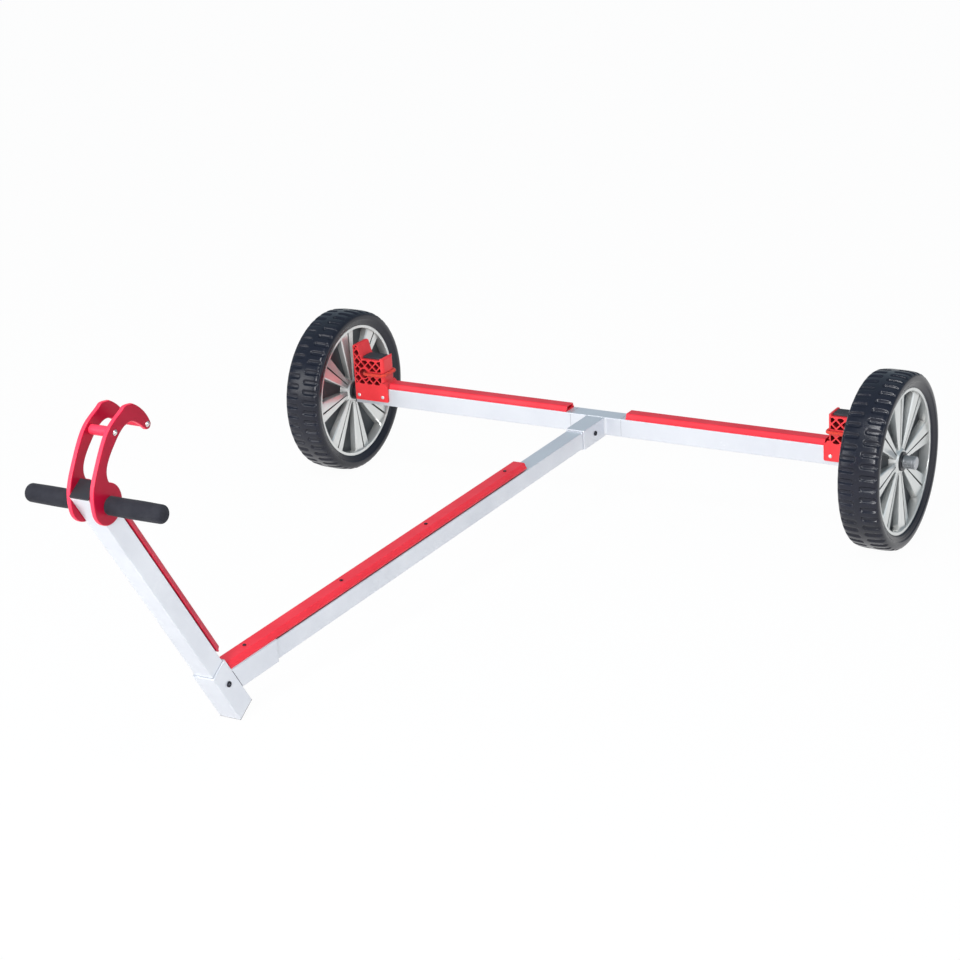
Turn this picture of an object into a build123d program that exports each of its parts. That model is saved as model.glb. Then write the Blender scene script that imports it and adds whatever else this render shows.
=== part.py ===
from build123d import *
import math
import os

# Dinghy dolly: two wheels on a square cross beam, a keel tube running forward from it,
# and a raked bow post with a towing handle and a bow horn. Millimetres, Z up, ground at 0.
# X runs along the axle and the bow points to -Y. The chassis is drawn level about the
# axle's centre, tipped forward until the foot of the elbow stands on the ground, and the
# whole dolly is then moved along Y until its outline is centred on the origin.

# Wheels
WHEEL_RADIUS = 200.0
WHEEL_TRACK = 1432.0
TYRE_WIDTH = 93.0
TYRE_HEIGHT = 36.0
RIM_WIDTH = 75.0
RIM_LIP = 3.0
RIM_WALL = 5.0
RIM_FLARE = 1.5
CORE_WIDTH = 28.0
HUB_LENGTH = 60.0
HUB_TUBE_RADIUS = 21.5
HUB_CONE_RADIUS = 44.0
HUB_CONE_LIP = 3.5
SPOKE_PAIRS = 8
SPOKE_PHASE = 10.0
SPOKE_ROOT_WIDTH = 6.5
SPOKE_TIP_WIDTH = 27.0
SPOKE_ROOT_SLOT = 2.0
SPOKE_TIP_SLOT = 5.0
SPOKE_SETBACK = 4.5
SPOKE_FALL = 3.0
SPOKE_DRAFT = 3.0
BUSH_WALL = 8.0
BUSH_FLANGE = 4.0

# Axle
AXLE_RADIUS = 10.0
AXLE_RUNNING_CLEARANCE = 0.05
AXLE_END_PLAY = 1.0
AXLE_IN_BEAM = 58.0
SPACER_WALL = 5.0
SPACER_LENGTH = 10.0
RETAINER_WALL = 4.5
RETAINER_LENGTH = 28.0
RETAINER_GROOVE = 1.2

# Frame tubes
BEAM_SIZE = 44.0
RUN_SIZE = 40.0
TUBE_WALL = 3.0
TUBE_CORNER = 2.0
SLIP_GAP = 0.2
FITTING_WALL = 3.5
PLUG_FLANGE = 3.0
PLUG_DEPTH = 20.0

# Keel and its fittings
KEEL_DROP = 2.0
KEEL_LENGTH = 1528.0
TEE_ARM_HALF = 66.0
TEE_SPIGOT = 50.0
TEE_SOCKET = 102.0
TEE_ROOT_ROUND = 7.0
ELBOW_ARM = 158.0
ELBOW_ABOVE = 45.0
ELBOW_BELOW = 83.0
KEEL_SHORT = 6.0

# Bow post, handle and horn
POST_ANGLE = 58.3
POST_LENGTH = 566.0
HANDLE_HEIGHT = 526.5
HANDLE_SET_BACK = 3.5
HANDLE_HALF_WIDTH = 144.5
HANDLE_BAR_RADIUS = 12.5
GRIP_WALL = 4.3
GRIP_END_ROUND = 8.0
GRIP_END_WALL = 5.0
HORN_THICKNESS = 9.0
HORN_EDGE_ROUND = 2.5
HORN_LOBE_RADIUS = 36.5
HORN_LOBE_RISE = 3.0
HORN_SPACER_RADIUS = 9.0
HORN_PIN_RADIUS = 5.0
HORN_PIN_SHOULDER = 1.0

# Bumper strips
STRIP_WIDTH = 40.0
STRIP_HEIGHT = 13.0
STRIP_FLANGE = 3.0
STRIP_WALL = 2.4
STRIP_EDGE_ROUND = 3.5
STRIP_FOOT_WIDTH = 28.0
STRIP_END_GAP = 0.3
BEAM_STRIP_START = 78.0
KEEL_STRIP_START = 391.0
KEEL_STRIP_CLEARANCE = 1.3932
POST_STRIP_START = 69.0
POST_STRIP_END = 488.0

# Hull support blocks, measured outward from the inboard edge and up from the beam's axis
BLOCK_WIDTH = 94.0
BLOCK_END_INSET = 2.0
BLOCK_WALL = 4.0
BLOCK_BELOW = 12.0
BLOCK_PLATE = 30.0
BLOCK_SHOULDER_IN = 10.0
BLOCK_SHOULDER_HEIGHT = 99.0
BLOCK_SHOULDER_ROUND = 10.0
BLOCK_SEAT_START = 20.0
BLOCK_EAR_FOOT = 24.0
BLOCK_SEAT = 94.0
BLOCK_EAR_HEIGHT = 129.5
BLOCK_EAR_TOP = 14.0
PAD_THICKNESS = 6.0
PAD_DEPTH = 34.0
PAD_CHAMFER = 1.5
LATTICE_PITCH = 21.5
LATTICE_AT = (30.0, 76.3)
LATTICE_RIB = 3.2
LATTICE_EDGE = 3.0
LATTICE_WEB = 4.0
LATTICE_LEAST_POCKET = 18.0

# Shock cords
CORD_RADIUS = 4.0
CORD_HEIGHT = 57.0
CORD_FROM_SHOULDER = 2.0
CORD_SPAN = 58.5
CORD_BEND = 12.0
CORD_HOLE_RADIUS = 12.0
CORD_HOLE_RIM = 3.0

# Sizes that follow from those above
RIM_RADIUS = WHEEL_RADIUS - TYRE_HEIGHT
TYRE_SEAT_RADIUS = RIM_RADIUS - RIM_LIP
RIM_BORE = TYRE_SEAT_RADIUS - RIM_WALL
BUSH_RADIUS = AXLE_RADIUS + BUSH_WALL
HUB_INNER = WHEEL_TRACK / 2 - HUB_LENGTH / 2 - BUSH_FLANGE - AXLE_END_PLAY
HUB_OUTER = WHEEL_TRACK / 2 + HUB_LENGTH / 2 + BUSH_FLANGE + AXLE_END_PLAY
BEAM_HALF_LENGTH = HUB_INNER - SPACER_LENGTH - PLUG_FLANGE
FITTING_SIZE = RUN_SIZE + 2 * FITTING_WALL
GRIP_RADIUS = HANDLE_BAR_RADIUS + SLIP_GAP + GRIP_WALL
HORN_PLATE_START = RUN_SIZE / 2
HORN_PLATE_END = HORN_PLATE_START + HORN_THICKNESS
BLOCK_INNER = BEAM_HALF_LENGTH - BLOCK_END_INSET - BLOCK_WIDTH
BLOCK_DEPTH = BEAM_SIZE + 2 * BLOCK_WALL
BLOCK_SEAT_WIDTH = BLOCK_WIDTH - BLOCK_SEAT_START - BLOCK_EAR_FOOT
CORD_START = BLOCK_SHOULDER_IN - CORD_FROM_SHOULDER

# Derived frames. The keel frame looks along the keel with Y up; the post frame stands on
# the point where keel and post axes cross, with Y to the rear and Z up the post.
RAKE = math.radians(POST_ANGLE)
KEEL_STRIP_END_GAP = FITTING_SIZE / 2 * math.tan(RAKE / 2) + KEEL_STRIP_CLEARANCE
CROSSING = Vector(0, -KEEL_LENGTH, -KEEL_DROP)
POST_UP = Vector(0, -math.cos(RAKE), math.sin(RAKE))
POST_REAR = Vector(0, math.sin(RAKE), math.cos(RAKE))
BEAM_FRAME = Plane(origin=(0, 0, 0), x_dir=(0, 1, 0), z_dir=(1, 0, 0))
KEEL_FRAME = Plane(origin=(0, 0, -KEEL_DROP), x_dir=(1, 0, 0), z_dir=(0, -1, 0))
POST_FRAME = Plane(origin=CROSSING, x_dir=(1, 0, 0), z_dir=POST_UP)
HANDLE_CENTRE = CROSSING + POST_UP * HANDLE_HEIGHT + POST_REAR * HANDLE_SET_BACK
HORN_FRAME = Plane(origin=HANDLE_CENTRE, x_dir=POST_REAR, z_dir=(1, 0, 0))
BLOCK_FRAME = Plane(origin=(BLOCK_INNER, 0, 0), x_dir=(1, 0, 0), z_dir=(0, -1, 0))

# Horn outline about the handle's axis: each point is to the rear, then up the post.
HORN_OUTER = [(-HORN_LOBE_RADIUS, HORN_LOBE_RISE), (-31.5, 22), (-16, 45), (20, 69.5), (58, 88), (95, 97),
              (131, 94), (155, 81)]
HORN_HOOK = [(155, 81), (165, 56), (167.5, 34), (165.5, 19)]
HORN_TIP = [(165.5, 19), (158, 14.5), (149, 20)]
HORN_INNER = [(149, 20), (143, 41), (130, 62.5), (112, 69), (80, 66), (50, 57.5), (34, 47), (28, 37), (27, 24)]
HORN_SPACER_AT = (91.0, 81.0)
HORN_TIP_PIN_AT = (157.0, 25.0)


def stance_angle():
    """Forward tip that brings the rounded front edge of the foot plug to the ground."""
    rounding = PLUG_FLANGE
    reach = CROSSING - POST_UP * (ELBOW_BELOW + PLUG_FLANGE - rounding)
    corner = reach - POST_REAR * (FITTING_SIZE / 2 - rounding)
    dip = math.atan2(-corner.Z, -corner.Y)
    return math.degrees(math.asin((WHEEL_RADIUS - rounding) / math.hypot(corner.Y, corner.Z)) - dip)


STANCE = Location((0, 0, WHEEL_RADIUS), (stance_angle(), 0, 0))


def square_bar(size, start, end, corner=0.0):
    """Square bar along Z between two heights."""
    section = RectangleRounded(size, size, corner) if corner else Rectangle(size, size)
    return extrude(Pos(0, 0, start) * section, end - start)


def square_tube(size, wall, start, end):
    """Square tube along Z with softened outer corners."""
    return square_bar(size, start, end, TUBE_CORNER) - square_bar(size - 2 * wall, start, end)


def round_bar(radius, start, end):
    """Round bar along X between two positions."""
    return Pos(start, 0, 0) * Rot(0, 90, 0) * Cylinder(
        radius, end - start, align=(Align.CENTER, Align.CENTER, Align.MIN))


def turned(outline):
    """Solid of revolution about X from (x, radius) points."""
    return revolve(make_face(Polyline(*outline, close=True)), Axis.X)


def rounded(face, corners):
    """Round the face's corners nearest to each (x, y, radius)."""
    for x, y, radius in corners:
        face = fillet(face.vertices().sort_by_distance((x, y, 0))[:1], radius)
    return face


def bumper_strip(start, end, rail_start=None, rail_end=None):
    """Hollow bumper strip along Z, its base on Y = 0, with an optional foot rail below."""
    half = STRIP_WIDTH / 2
    outer = make_face(Polyline(
        (-half, 0), (half, 0), (half, STRIP_FLANGE), (half - 1.5, STRIP_FLANGE),
        (half - 5.5, STRIP_HEIGHT), (5.5 - half, STRIP_HEIGHT),
        (1.5 - half, STRIP_FLANGE), (-half, STRIP_FLANGE), close=True))
    outer = fillet(outer.vertices().sort_by(Axis.Y)[-2:], STRIP_EDGE_ROUND)
    roof = STRIP_HEIGHT - STRIP_WALL
    inner = make_face(Polyline(
        (4.5 - half, STRIP_WALL), (half - 4.5, STRIP_WALL), (half - 8, roof), (8 - half, roof), close=True))
    strip = extrude(Pos(0, 0, start) * (outer - inner), end - start)
    if rail_start is not None:
        rail = Pos(0, -FITTING_WALL / 2, (rail_start + rail_end) / 2) * Box(
            STRIP_FOOT_WIDTH, FITTING_WALL, rail_end - rail_start)
        strip += rail
    return strip


def tee_root():
    """Rounded root between the tee's arm and the right side of its keel socket."""
    flat_arm = BEAM_SIZE / 2 - TUBE_CORNER
    flat_socket = FITTING_SIZE / 2 - TUBE_CORNER - KEEL_DROP
    half_height = min(flat_arm, flat_socket)
    sweep_round = Pos(TEE_ROOT_ROUND, -TEE_ROOT_ROUND) * Circle(TEE_ROOT_ROUND)
    corner = Pos(TEE_ROOT_ROUND / 2, -TEE_ROOT_ROUND / 2) * Rectangle(TEE_ROOT_ROUND, TEE_ROOT_ROUND)
    root = extrude(corner - sweep_round, 2 * half_height)
    return Pos(FITTING_SIZE / 2, -BEAM_SIZE / 2, -half_height) * root


def tee_fitting():
    """Cross arm of the beam's size, spigots into both beam halves and the keel socket."""
    reach = TEE_ARM_HALF + TEE_SPIGOT
    spigot = BEAM_SIZE - 2 * TUBE_WALL - 2 * SLIP_GAP
    face = BEAM_SIZE / 2
    mouth = face + TEE_SOCKET
    arm = square_bar(BEAM_SIZE, -TEE_ARM_HALF, TEE_ARM_HALF, TUBE_CORNER)
    arm += square_bar(spigot, -reach, reach)
    bore = square_bar(spigot - 2 * TUBE_WALL, -reach, reach)
    socket = square_bar(FITTING_SIZE, face - TUBE_WALL, mouth, TUBE_CORNER)
    keel_bore = square_bar(RUN_SIZE + 2 * SLIP_GAP, face + TUBE_WALL, mouth)
    outside = BEAM_FRAME * arm + KEEL_FRAME * socket + tee_root() + mirror(tee_root(), Plane.YZ)
    return outside - BEAM_FRAME * bore - KEEL_FRAME * keel_bore


def keel_inset():
    """How far short of the crossing the keel tube stops, clear of the post's rear face."""
    return RUN_SIZE / 2 * (1 / math.sin(RAKE) + 1 / math.tan(RAKE)) + KEEL_SHORT


def elbow_fitting():
    """Long sleeve around the post's foot with an arm that takes the keel tube."""
    sleeve = square_bar(FITTING_SIZE, -ELBOW_BELOW, ELBOW_ABOVE, TUBE_CORNER)
    arm = square_bar(FITTING_SIZE, KEEL_LENGTH - ELBOW_ARM, KEEL_LENGTH, TUBE_CORNER)
    bore = RUN_SIZE + 2 * SLIP_GAP
    post_bore = square_bar(bore, -ELBOW_BELOW, ELBOW_ABOVE)
    keel_bore = square_bar(bore, KEEL_LENGTH - ELBOW_ARM, KEEL_LENGTH - keel_inset() + SLIP_GAP)
    front_trim = POST_FRAME * Pos(0, -FITTING_SIZE, 0) * Box(2 * FITTING_SIZE, FITTING_SIZE, 4 * FITTING_SIZE)
    body = POST_FRAME * sleeve + (KEEL_FRAME * arm - front_trim)
    return body - POST_FRAME * post_bore - KEEL_FRAME * keel_bore


def tube_plug(size, wall, end, depth):
    """Plug with a flange above Z = end and a body reaching down inside the tube."""
    flange = square_bar(size, end, end + PLUG_FLANGE, TUBE_CORNER)
    body = square_bar(size - 2 * wall - 2 * SLIP_GAP, end - depth, end + PLUG_FLANGE)
    return flange + body


def foot_plug():
    """Plug under the elbow's sleeve; its flange is what the dolly stands on."""
    flange = square_bar(FITTING_SIZE, -ELBOW_BELOW - PLUG_FLANGE, -ELBOW_BELOW)
    rim = flange.faces().sort_by(Axis.Z)[0].edges()
    flange = fillet(rim, PLUG_FLANGE * 0.999)
    body = square_bar(RUN_SIZE - 2 * TUBE_WALL - 2 * SLIP_GAP, -ELBOW_BELOW, -ELBOW_BELOW + PLUG_DEPTH)
    return flange + body


def horn_plate():
    """Crescent plate with a round lobe bored for the handle bar, on the right side."""
    crescent = make_face([
        Spline(*HORN_OUTER, tangents=((0, 1), (1, -0.9))), Spline(*HORN_HOOK), Spline(*HORN_TIP),
        Spline(*HORN_INNER), Line(HORN_INNER[-1], HORN_OUTER[0])])
    outline = Pos(0, HORN_LOBE_RISE) * Circle(HORN_LOBE_RADIUS) + crescent
    plate = extrude(outline, HORN_THICKNESS)
    plate = fillet(plate.edges().group_by(Axis.Z)[-1] + plate.edges().group_by(Axis.Z)[0], HORN_EDGE_ROUND)
    plate -= extrude(Circle(HANDLE_BAR_RADIUS + SLIP_GAP), HORN_THICKNESS)
    for at in (HORN_SPACER_AT, HORN_TIP_PIN_AT):
        plate -= Pos(*at) * extrude(Circle(HORN_PIN_RADIUS), HORN_THICKNESS)
    return HORN_FRAME * Pos(0, 0, HORN_PLATE_START) * plate


def horn_tie(at, radius):
    """Round tie between the horn plates, stepped down where it enters their holes."""
    inner, outer = HORN_PLATE_START, HORN_PLATE_END
    neck = HORN_PIN_RADIUS - SLIP_GAP
    shoulder = inner - SLIP_GAP
    tie = turned([(-outer, 0), (outer, 0), (outer, neck), (inner, neck), (shoulder, radius),
                  (-shoulder, radius), (-inner, neck), (-outer, neck)])
    centre = HANDLE_CENTRE + POST_REAR * at[0] + POST_UP * at[1]
    return Pos(*centre) * tie


def grip():
    """Foam grip over the right half of the handle bar, closed and rounded at its end."""
    start = HORN_PLATE_END + SLIP_GAP
    body = round_bar(GRIP_RADIUS, start, HANDLE_HALF_WIDTH)
    body = fillet(body.edges().sort_by(Axis.X)[-1:], GRIP_END_ROUND)
    body -= round_bar(HANDLE_BAR_RADIUS + SLIP_GAP, start, HANDLE_HALF_WIDTH - GRIP_END_WALL)
    return Pos(*HANDLE_CENTRE) * body


def cord_loop(radius):
    """Closed loop round the block's shoulder and through its hole, on the right side."""
    depth = BLOCK_DEPTH + 2 * (CORD_RADIUS + SLIP_GAP)
    centre = BLOCK_INNER + CORD_START + CORD_SPAN / 2
    path = Pos(centre, 0, CORD_HEIGHT) * RectangleRounded(CORD_SPAN, depth, CORD_BEND)
    wire = path.wires()[0]
    section = Plane(origin=wire @ 0, z_dir=wire % 0) * Circle(radius)
    return sweep(section, wire)


def block_outline():
    """Side view of the support block: plate, shoulder, seat and ear."""
    w, top, seat = BLOCK_WIDTH, BLOCK_EAR_HEIGHT, BLOCK_SEAT
    seat_end = BLOCK_SEAT_START + BLOCK_SEAT_WIDTH
    ear_in = w - BLOCK_EAR_TOP
    lip = BLOCK_SEAT_START - 3
    walk = [
        (0, -BLOCK_BELOW), (w, -BLOCK_BELOW), (w, top), (ear_in, top)]
    ear = ThreePointArc((ear_in, top), (ear_in - 4, (top + seat) / 2 + 1), (seat_end, seat))
    rest = [
        (seat_end, seat), (BLOCK_SEAT_START, seat), (lip, BLOCK_SHOULDER_HEIGHT),
        (BLOCK_SHOULDER_IN, BLOCK_SHOULDER_HEIGHT), (BLOCK_SHOULDER_IN, BLOCK_PLATE + 6),
        (0, BLOCK_PLATE - 4), (0, -BLOCK_BELOW)]
    face = make_face([Polyline(*walk), ear, Polyline(*rest)])
    return rounded(face, [
        (0, -BLOCK_BELOW, 4), (w, -BLOCK_BELOW, 4), (w, top, 6), (ear_in, top, 5),
        (BLOCK_SHOULDER_IN, BLOCK_SHOULDER_HEIGHT, 5), (lip, BLOCK_SHOULDER_HEIGHT, 2.5),
        (BLOCK_SHOULDER_IN, BLOCK_PLATE + 6, 4), (0, BLOCK_PLATE - 4, 4)])


def shoulder_waste():
    """What is cut away outside the two rounded upright edges of the block's shoulder."""
    low, high = BLOCK_PLATE + 6, BLOCK_SHOULDER_HEIGHT + 1
    reach, depth = BLOCK_SHOULDER_ROUND, BLOCK_DEPTH
    kept = Pos(BLOCK_SHOULDER_IN + 2 * reach, 0) * RectangleRounded(4 * reach, depth, reach)
    band = Pos(BLOCK_SHOULDER_IN + reach / 2, 0) * Rectangle(reach, depth + 2)
    return Pos(0, high, 0) * Rot(90, 0, 0) * extrude(band - kept, high - low)


def lattice_pockets(outline):
    """Diamond pockets between crossed ribs, kept off the edges, the cord and its hole."""
    edge = LATTICE_EDGE
    clear = CORD_RADIUS + edge
    hole_at = CORD_START + CORD_SPAN
    field = offset(outline, -edge)
    below = BLOCK_PLATE + BLOCK_BELOW + edge
    field -= Pos(BLOCK_WIDTH / 2, -BLOCK_BELOW - edge + below / 2) * Rectangle(2 * BLOCK_WIDTH, below)
    field -= Pos(hole_at / 2, CORD_HEIGHT) * Rectangle(hole_at, 2 * clear)
    field -= Pos(BLOCK_SHOULDER_IN, 0) * Rectangle(2 * edge + 8, 4 * BLOCK_SEAT)
    field -= Pos(hole_at, CORD_HEIGHT) * Circle(CORD_HOLE_RADIUS + CORD_HOLE_RIM)
    step = LATTICE_PITCH / math.sqrt(2)
    count = 2 * math.ceil(BLOCK_EAR_HEIGHT / step) + 1
    centre = Pos(*LATTICE_AT) * Rot(0, 0, 45)
    diamonds = [
        centre * cell * Rectangle(step - LATTICE_RIB, step - LATTICE_RIB)
        for cell in GridLocations(step, step, count, count)]
    cut = field & Sketch(children=diamonds)
    return [face for face in cut.faces() if face.area > LATTICE_LEAST_POCKET]


def support_block():
    """Hull support block straddling the right beam end, with waffle faces and an ear."""
    outline = block_outline()
    front = BLOCK_DEPTH / 2
    block = extrude(Pos(0, 0, -front) * outline, BLOCK_DEPTH) - shoulder_waste()
    saddle = BLOCK_BELOW + BEAM_SIZE / 2
    block -= Pos(BLOCK_WIDTH / 2, BEAM_SIZE / 2 - saddle, 0) * Box(2 * BLOCK_WIDTH, 2 * saddle, BEAM_SIZE)
    pocket_depth = (BLOCK_DEPTH - LATTICE_WEB) / 2
    for pocket in lattice_pockets(outline):
        block -= extrude(Pos(0, 0, front - pocket_depth) * pocket, pocket_depth)
        block -= extrude(Pos(0, 0, -front) * pocket, pocket_depth)
    hole_at = CORD_START + CORD_SPAN
    block -= Pos(hole_at, CORD_HEIGHT, 0) * Cylinder(CORD_HOLE_RADIUS, 2 * BLOCK_DEPTH)
    return BLOCK_FRAME * block - cord_loop(CORD_RADIUS + SLIP_GAP)


def support_pad():
    """Rubber pad on the block's seat."""
    centre = BLOCK_INNER + BLOCK_SEAT_START + BLOCK_SEAT_WIDTH / 2
    pad = Pos(centre, 0, BLOCK_SEAT + PAD_THICKNESS / 2) * Box(
        BLOCK_SEAT_WIDTH - 2 * SLIP_GAP, PAD_DEPTH, PAD_THICKNESS)
    return chamfer(pad.faces().sort_by(Axis.Z)[-1].edges(), PAD_CHAMFER)


def spoke():
    """One blade beside a pair's slot, along +Z, widening and rising towards the rim."""
    web = CORE_WIDTH / 2
    widest = SPOKE_TIP_SLOT / 2 + SPOKE_TIP_WIDTH + SPOKE_DRAFT
    tip = math.sqrt((TYRE_SEAT_RADIUS - RIM_WALL / 10) ** 2 - widest ** 2)
    sections = []
    for height, slot, width, front in (
            (HUB_TUBE_RADIUS + HUB_CONE_LIP, SPOKE_ROOT_SLOT, SPOKE_ROOT_WIDTH, HUB_LENGTH / 2 - HUB_CONE_LIP),
            (tip, SPOKE_TIP_SLOT, SPOKE_TIP_WIDTH, RIM_WIDTH / 2 - SPOKE_SETBACK)):
        near, far = slot / 2, slot / 2 + width
        fall = SPOKE_FALL * width / SPOKE_TIP_WIDTH
        draft = SPOKE_DRAFT * width / SPOKE_TIP_WIDTH
        outline = Polyline(
            (web, near), (front, near), (front - fall, far - fall), (front - 2 * fall, far),
            (web, far + draft), close=True)
        sections.append(Pos(0, 0, height) * make_face(outline))
    return loft(sections, ruled=True)


def rim_face():
    """Outer half of the rim: ring, conical hub and paired spokes, standing on the core."""
    web, edge, lip = CORE_WIDTH / 2, RIM_WIDTH / 2, RIM_LIP / 2
    ring = turned([
        (web, RIM_BORE), (edge - RIM_FLARE, RIM_BORE + 1), (edge, RIM_BORE + RIM_FLARE), (edge, RIM_RADIUS),
        (edge - lip, RIM_RADIUS), (edge - RIM_LIP, TYRE_SEAT_RADIUS), (web, TYRE_SEAT_RADIUS)])
    bore = HUB_TUBE_RADIUS + SLIP_GAP
    end = HUB_LENGTH / 2
    cone = turned([
        (web, bore), (end, bore), (end, bore + HUB_CONE_LIP), (end - 4, bore + 2 * HUB_CONE_LIP),
        (web, HUB_CONE_RADIUS)])
    blade = spoke()
    blades = [
        Rot(360 * pair / SPOKE_PAIRS + SPOKE_PHASE, 0, 0) * side
        for pair in range(SPOKE_PAIRS) for side in (blade, mirror(blade, Plane.XZ))]
    return ring + cone + blades - round_bar(bore, 0, end + 1)


def rim():
    """The two rim faces, one on each side of the wheel's core."""
    face = rim_face()
    return [face, mirror(face, Plane.YZ)]


def wheel_core():
    """Dark core of the wheel: closed disc that carries tyre and rim faces, with its hub tube."""
    web, end = CORE_WIDTH / 2, HUB_LENGTH / 2
    bore = BUSH_RADIUS + SLIP_GAP / 2
    return turned([
        (-end, bore), (-end, HUB_TUBE_RADIUS), (-web, HUB_TUBE_RADIUS), (-web, TYRE_SEAT_RADIUS),
        (web, TYRE_SEAT_RADIUS), (web, HUB_TUBE_RADIUS), (end, HUB_TUBE_RADIUS), (end, bore)])


def tyre():
    """Tyre seated on core and rim, with round shoulders and a flat band round its middle."""
    half = TYRE_WIDTH / 2
    lip = RIM_WIDTH / 2
    flank = [(lip - RIM_LIP - 0.5, TYRE_SEAT_RADIUS), (lip - RIM_LIP / 2 - 0.5, RIM_RADIUS + SLIP_GAP),
             (lip + 1, RIM_RADIUS + SLIP_GAP), (lip + 5, RIM_RADIUS + 5), (half, WHEEL_RADIUS - 17),
             (half - 1.5, WHEEL_RADIUS - 10), (half - 6, WHEEL_RADIUS - 4.5), (half - 15, WHEEL_RADIUS - 1.2),
             (half - 28, WHEEL_RADIUS)]
    return turned(flank + [(-x, r) for x, r in reversed(flank)])


def hub_bush():
    """Flanged bush in the hub that runs on the stub axle."""
    end = HUB_LENGTH / 2
    bore = AXLE_RADIUS + AXLE_RUNNING_CLEARANCE
    return turned([
        (-end - BUSH_FLANGE, bore), (-end - BUSH_FLANGE, HUB_TUBE_RADIUS), (-end, HUB_TUBE_RADIUS),
        (-end, BUSH_RADIUS), (end, BUSH_RADIUS), (end, HUB_TUBE_RADIUS),
        (end + BUSH_FLANGE, HUB_TUBE_RADIUS), (end + BUSH_FLANGE, bore)])


def axle_retainer():
    """Round cap pinned on the axle's end, with the groove of its clip."""
    outer = AXLE_RADIUS + AXLE_RUNNING_CLEARANCE + RETAINER_WALL
    end = HUB_OUTER + RETAINER_LENGTH
    groove = RETAINER_LENGTH / 4
    return turned([
        (HUB_OUTER, 0), (HUB_OUTER, outer), (end - groove, outer), (end - groove, outer - RETAINER_GROOVE),
        (end - 2 * groove / 3, outer - RETAINER_GROOVE), (end - 2 * groove / 3, outer),
        (end - 1, outer), (end, outer - 1), (end, 0)])


def right_side_chassis():
    """Chassis pieces that come in mirrored pairs, drawn for the right side."""
    beam_end = BEAM_HALF_LENGTH
    axle_end = HUB_OUTER + RETAINER_LENGTH - RETAINER_WALL
    bore = round_bar(AXLE_RADIUS + AXLE_RUNNING_CLEARANCE, 0, axle_end)
    plug = BEAM_FRAME * tube_plug(BEAM_SIZE, TUBE_WALL, beam_end, AXLE_IN_BEAM)
    spacer = round_bar(AXLE_RADIUS + SPACER_WALL, beam_end + PLUG_FLANGE, HUB_INNER)
    strip = bumper_strip(BEAM_STRIP_START, BLOCK_INNER - STRIP_END_GAP)
    return {
        "axle_beam": BEAM_FRAME * square_tube(BEAM_SIZE, TUBE_WALL, TEE_ARM_HALF, beam_end),
        "beam_plug": plug - bore,
        "stub_axle": round_bar(AXLE_RADIUS, beam_end - AXLE_IN_BEAM, axle_end),
        "axle_spacer": spacer - bore,
        "axle_retainer": axle_retainer() - bore,
        "axle_strip": BEAM_FRAME * Pos(0, BEAM_SIZE / 2, 0) * strip,
        "support_block": support_block(),
        "support_pad": support_pad(),
        "bungee": cord_loop(CORD_RADIUS),
        "horn_plate": horn_plate(),
        "grip": grip(),
    }


def centre_chassis():
    """Chassis pieces on the centre line."""
    bar_hole = Pos(*HANDLE_CENTRE) * round_bar(HANDLE_BAR_RADIUS + SLIP_GAP, -RUN_SIZE, RUN_SIZE)
    bar_end = HANDLE_HALF_WIDTH - GRIP_END_WALL - SLIP_GAP
    post = POST_FRAME * square_tube(RUN_SIZE, TUBE_WALL, -ELBOW_BELOW, POST_LENGTH)
    keel_start = BEAM_SIZE / 2 + TUBE_WALL + SLIP_GAP
    rest = RUN_SIZE / 2 + FITTING_WALL
    rail_end = KEEL_LENGTH - ELBOW_ARM - KEEL_SHORT / 3
    keel_strip = bumper_strip(KEEL_STRIP_START, KEEL_LENGTH - KEEL_STRIP_END_GAP, KEEL_STRIP_START, rail_end)
    post_strip = bumper_strip(POST_STRIP_START, POST_STRIP_END, POST_STRIP_START, POST_STRIP_END)
    return {
        "tee_fitting": tee_fitting(),
        "keel_tube": KEEL_FRAME * square_tube(RUN_SIZE, TUBE_WALL, keel_start, KEEL_LENGTH - keel_inset()),
        "keel_strip": KEEL_FRAME * Pos(0, rest, 0) * keel_strip,
        "elbow_fitting": elbow_fitting(),
        "foot_plug": POST_FRAME * foot_plug(),
        "post_tube": post - bar_hole,
        "post_cap": POST_FRAME * tube_plug(RUN_SIZE, TUBE_WALL, POST_LENGTH, PLUG_DEPTH),
        "post_strip": POST_FRAME * Pos(0, rest, 0) * post_strip,
        "handle_bar": Pos(*HANDLE_CENTRE) * round_bar(HANDLE_BAR_RADIUS, -bar_end, bar_end),
        "horn_spacer": horn_tie(HORN_SPACER_AT, HORN_SPACER_RADIUS),
        "horn_tip_pin": horn_tie(HORN_TIP_PIN_AT, HORN_PIN_RADIUS + HORN_PIN_SHOULDER),
    }


def save(name, shape):
    """Write one piece to its own STEP file."""
    export_step(shape, f"parts/{name}.step")


def placed(location, shape):
    """Move a piece, or each solid of a piece made of several."""
    if isinstance(shape, list):
        return Compound(children=[location * solid for solid in shape])
    return location * shape


def main():
    os.makedirs("parts", exist_ok=True)
    pairs = right_side_chassis()
    bow = (STANCE * pairs["horn_plate"]).bounding_box().min.Y
    centring = Pos(0, -(bow + WHEEL_RADIUS) / 2, 0)
    chassis = centring * STANCE
    for name, shape in centre_chassis().items():
        save(name, chassis * shape)
    for name, shape in pairs.items():
        save(f"{name}_right", chassis * shape)
        save(f"{name}_left", chassis * mirror(shape, Plane.YZ))
    wheel = {"rim": rim(), "wheel_core": wheel_core(), "tyre": tyre(), "hub_bush": hub_bush()}
    for name, shape in wheel.items():
        right = placed(centring * Pos(WHEEL_TRACK / 2, 0, WHEEL_RADIUS), shape)
        save(f"{name}_right", right)
        save(f"{name}_left", mirror(right, Plane.YZ))


if __name__ == "__main__":
    main()
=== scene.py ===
import itertools
import logging
import math
from dataclasses import dataclass, field
from enum import Enum
from typing import Callable, Iterable, Sequence

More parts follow.
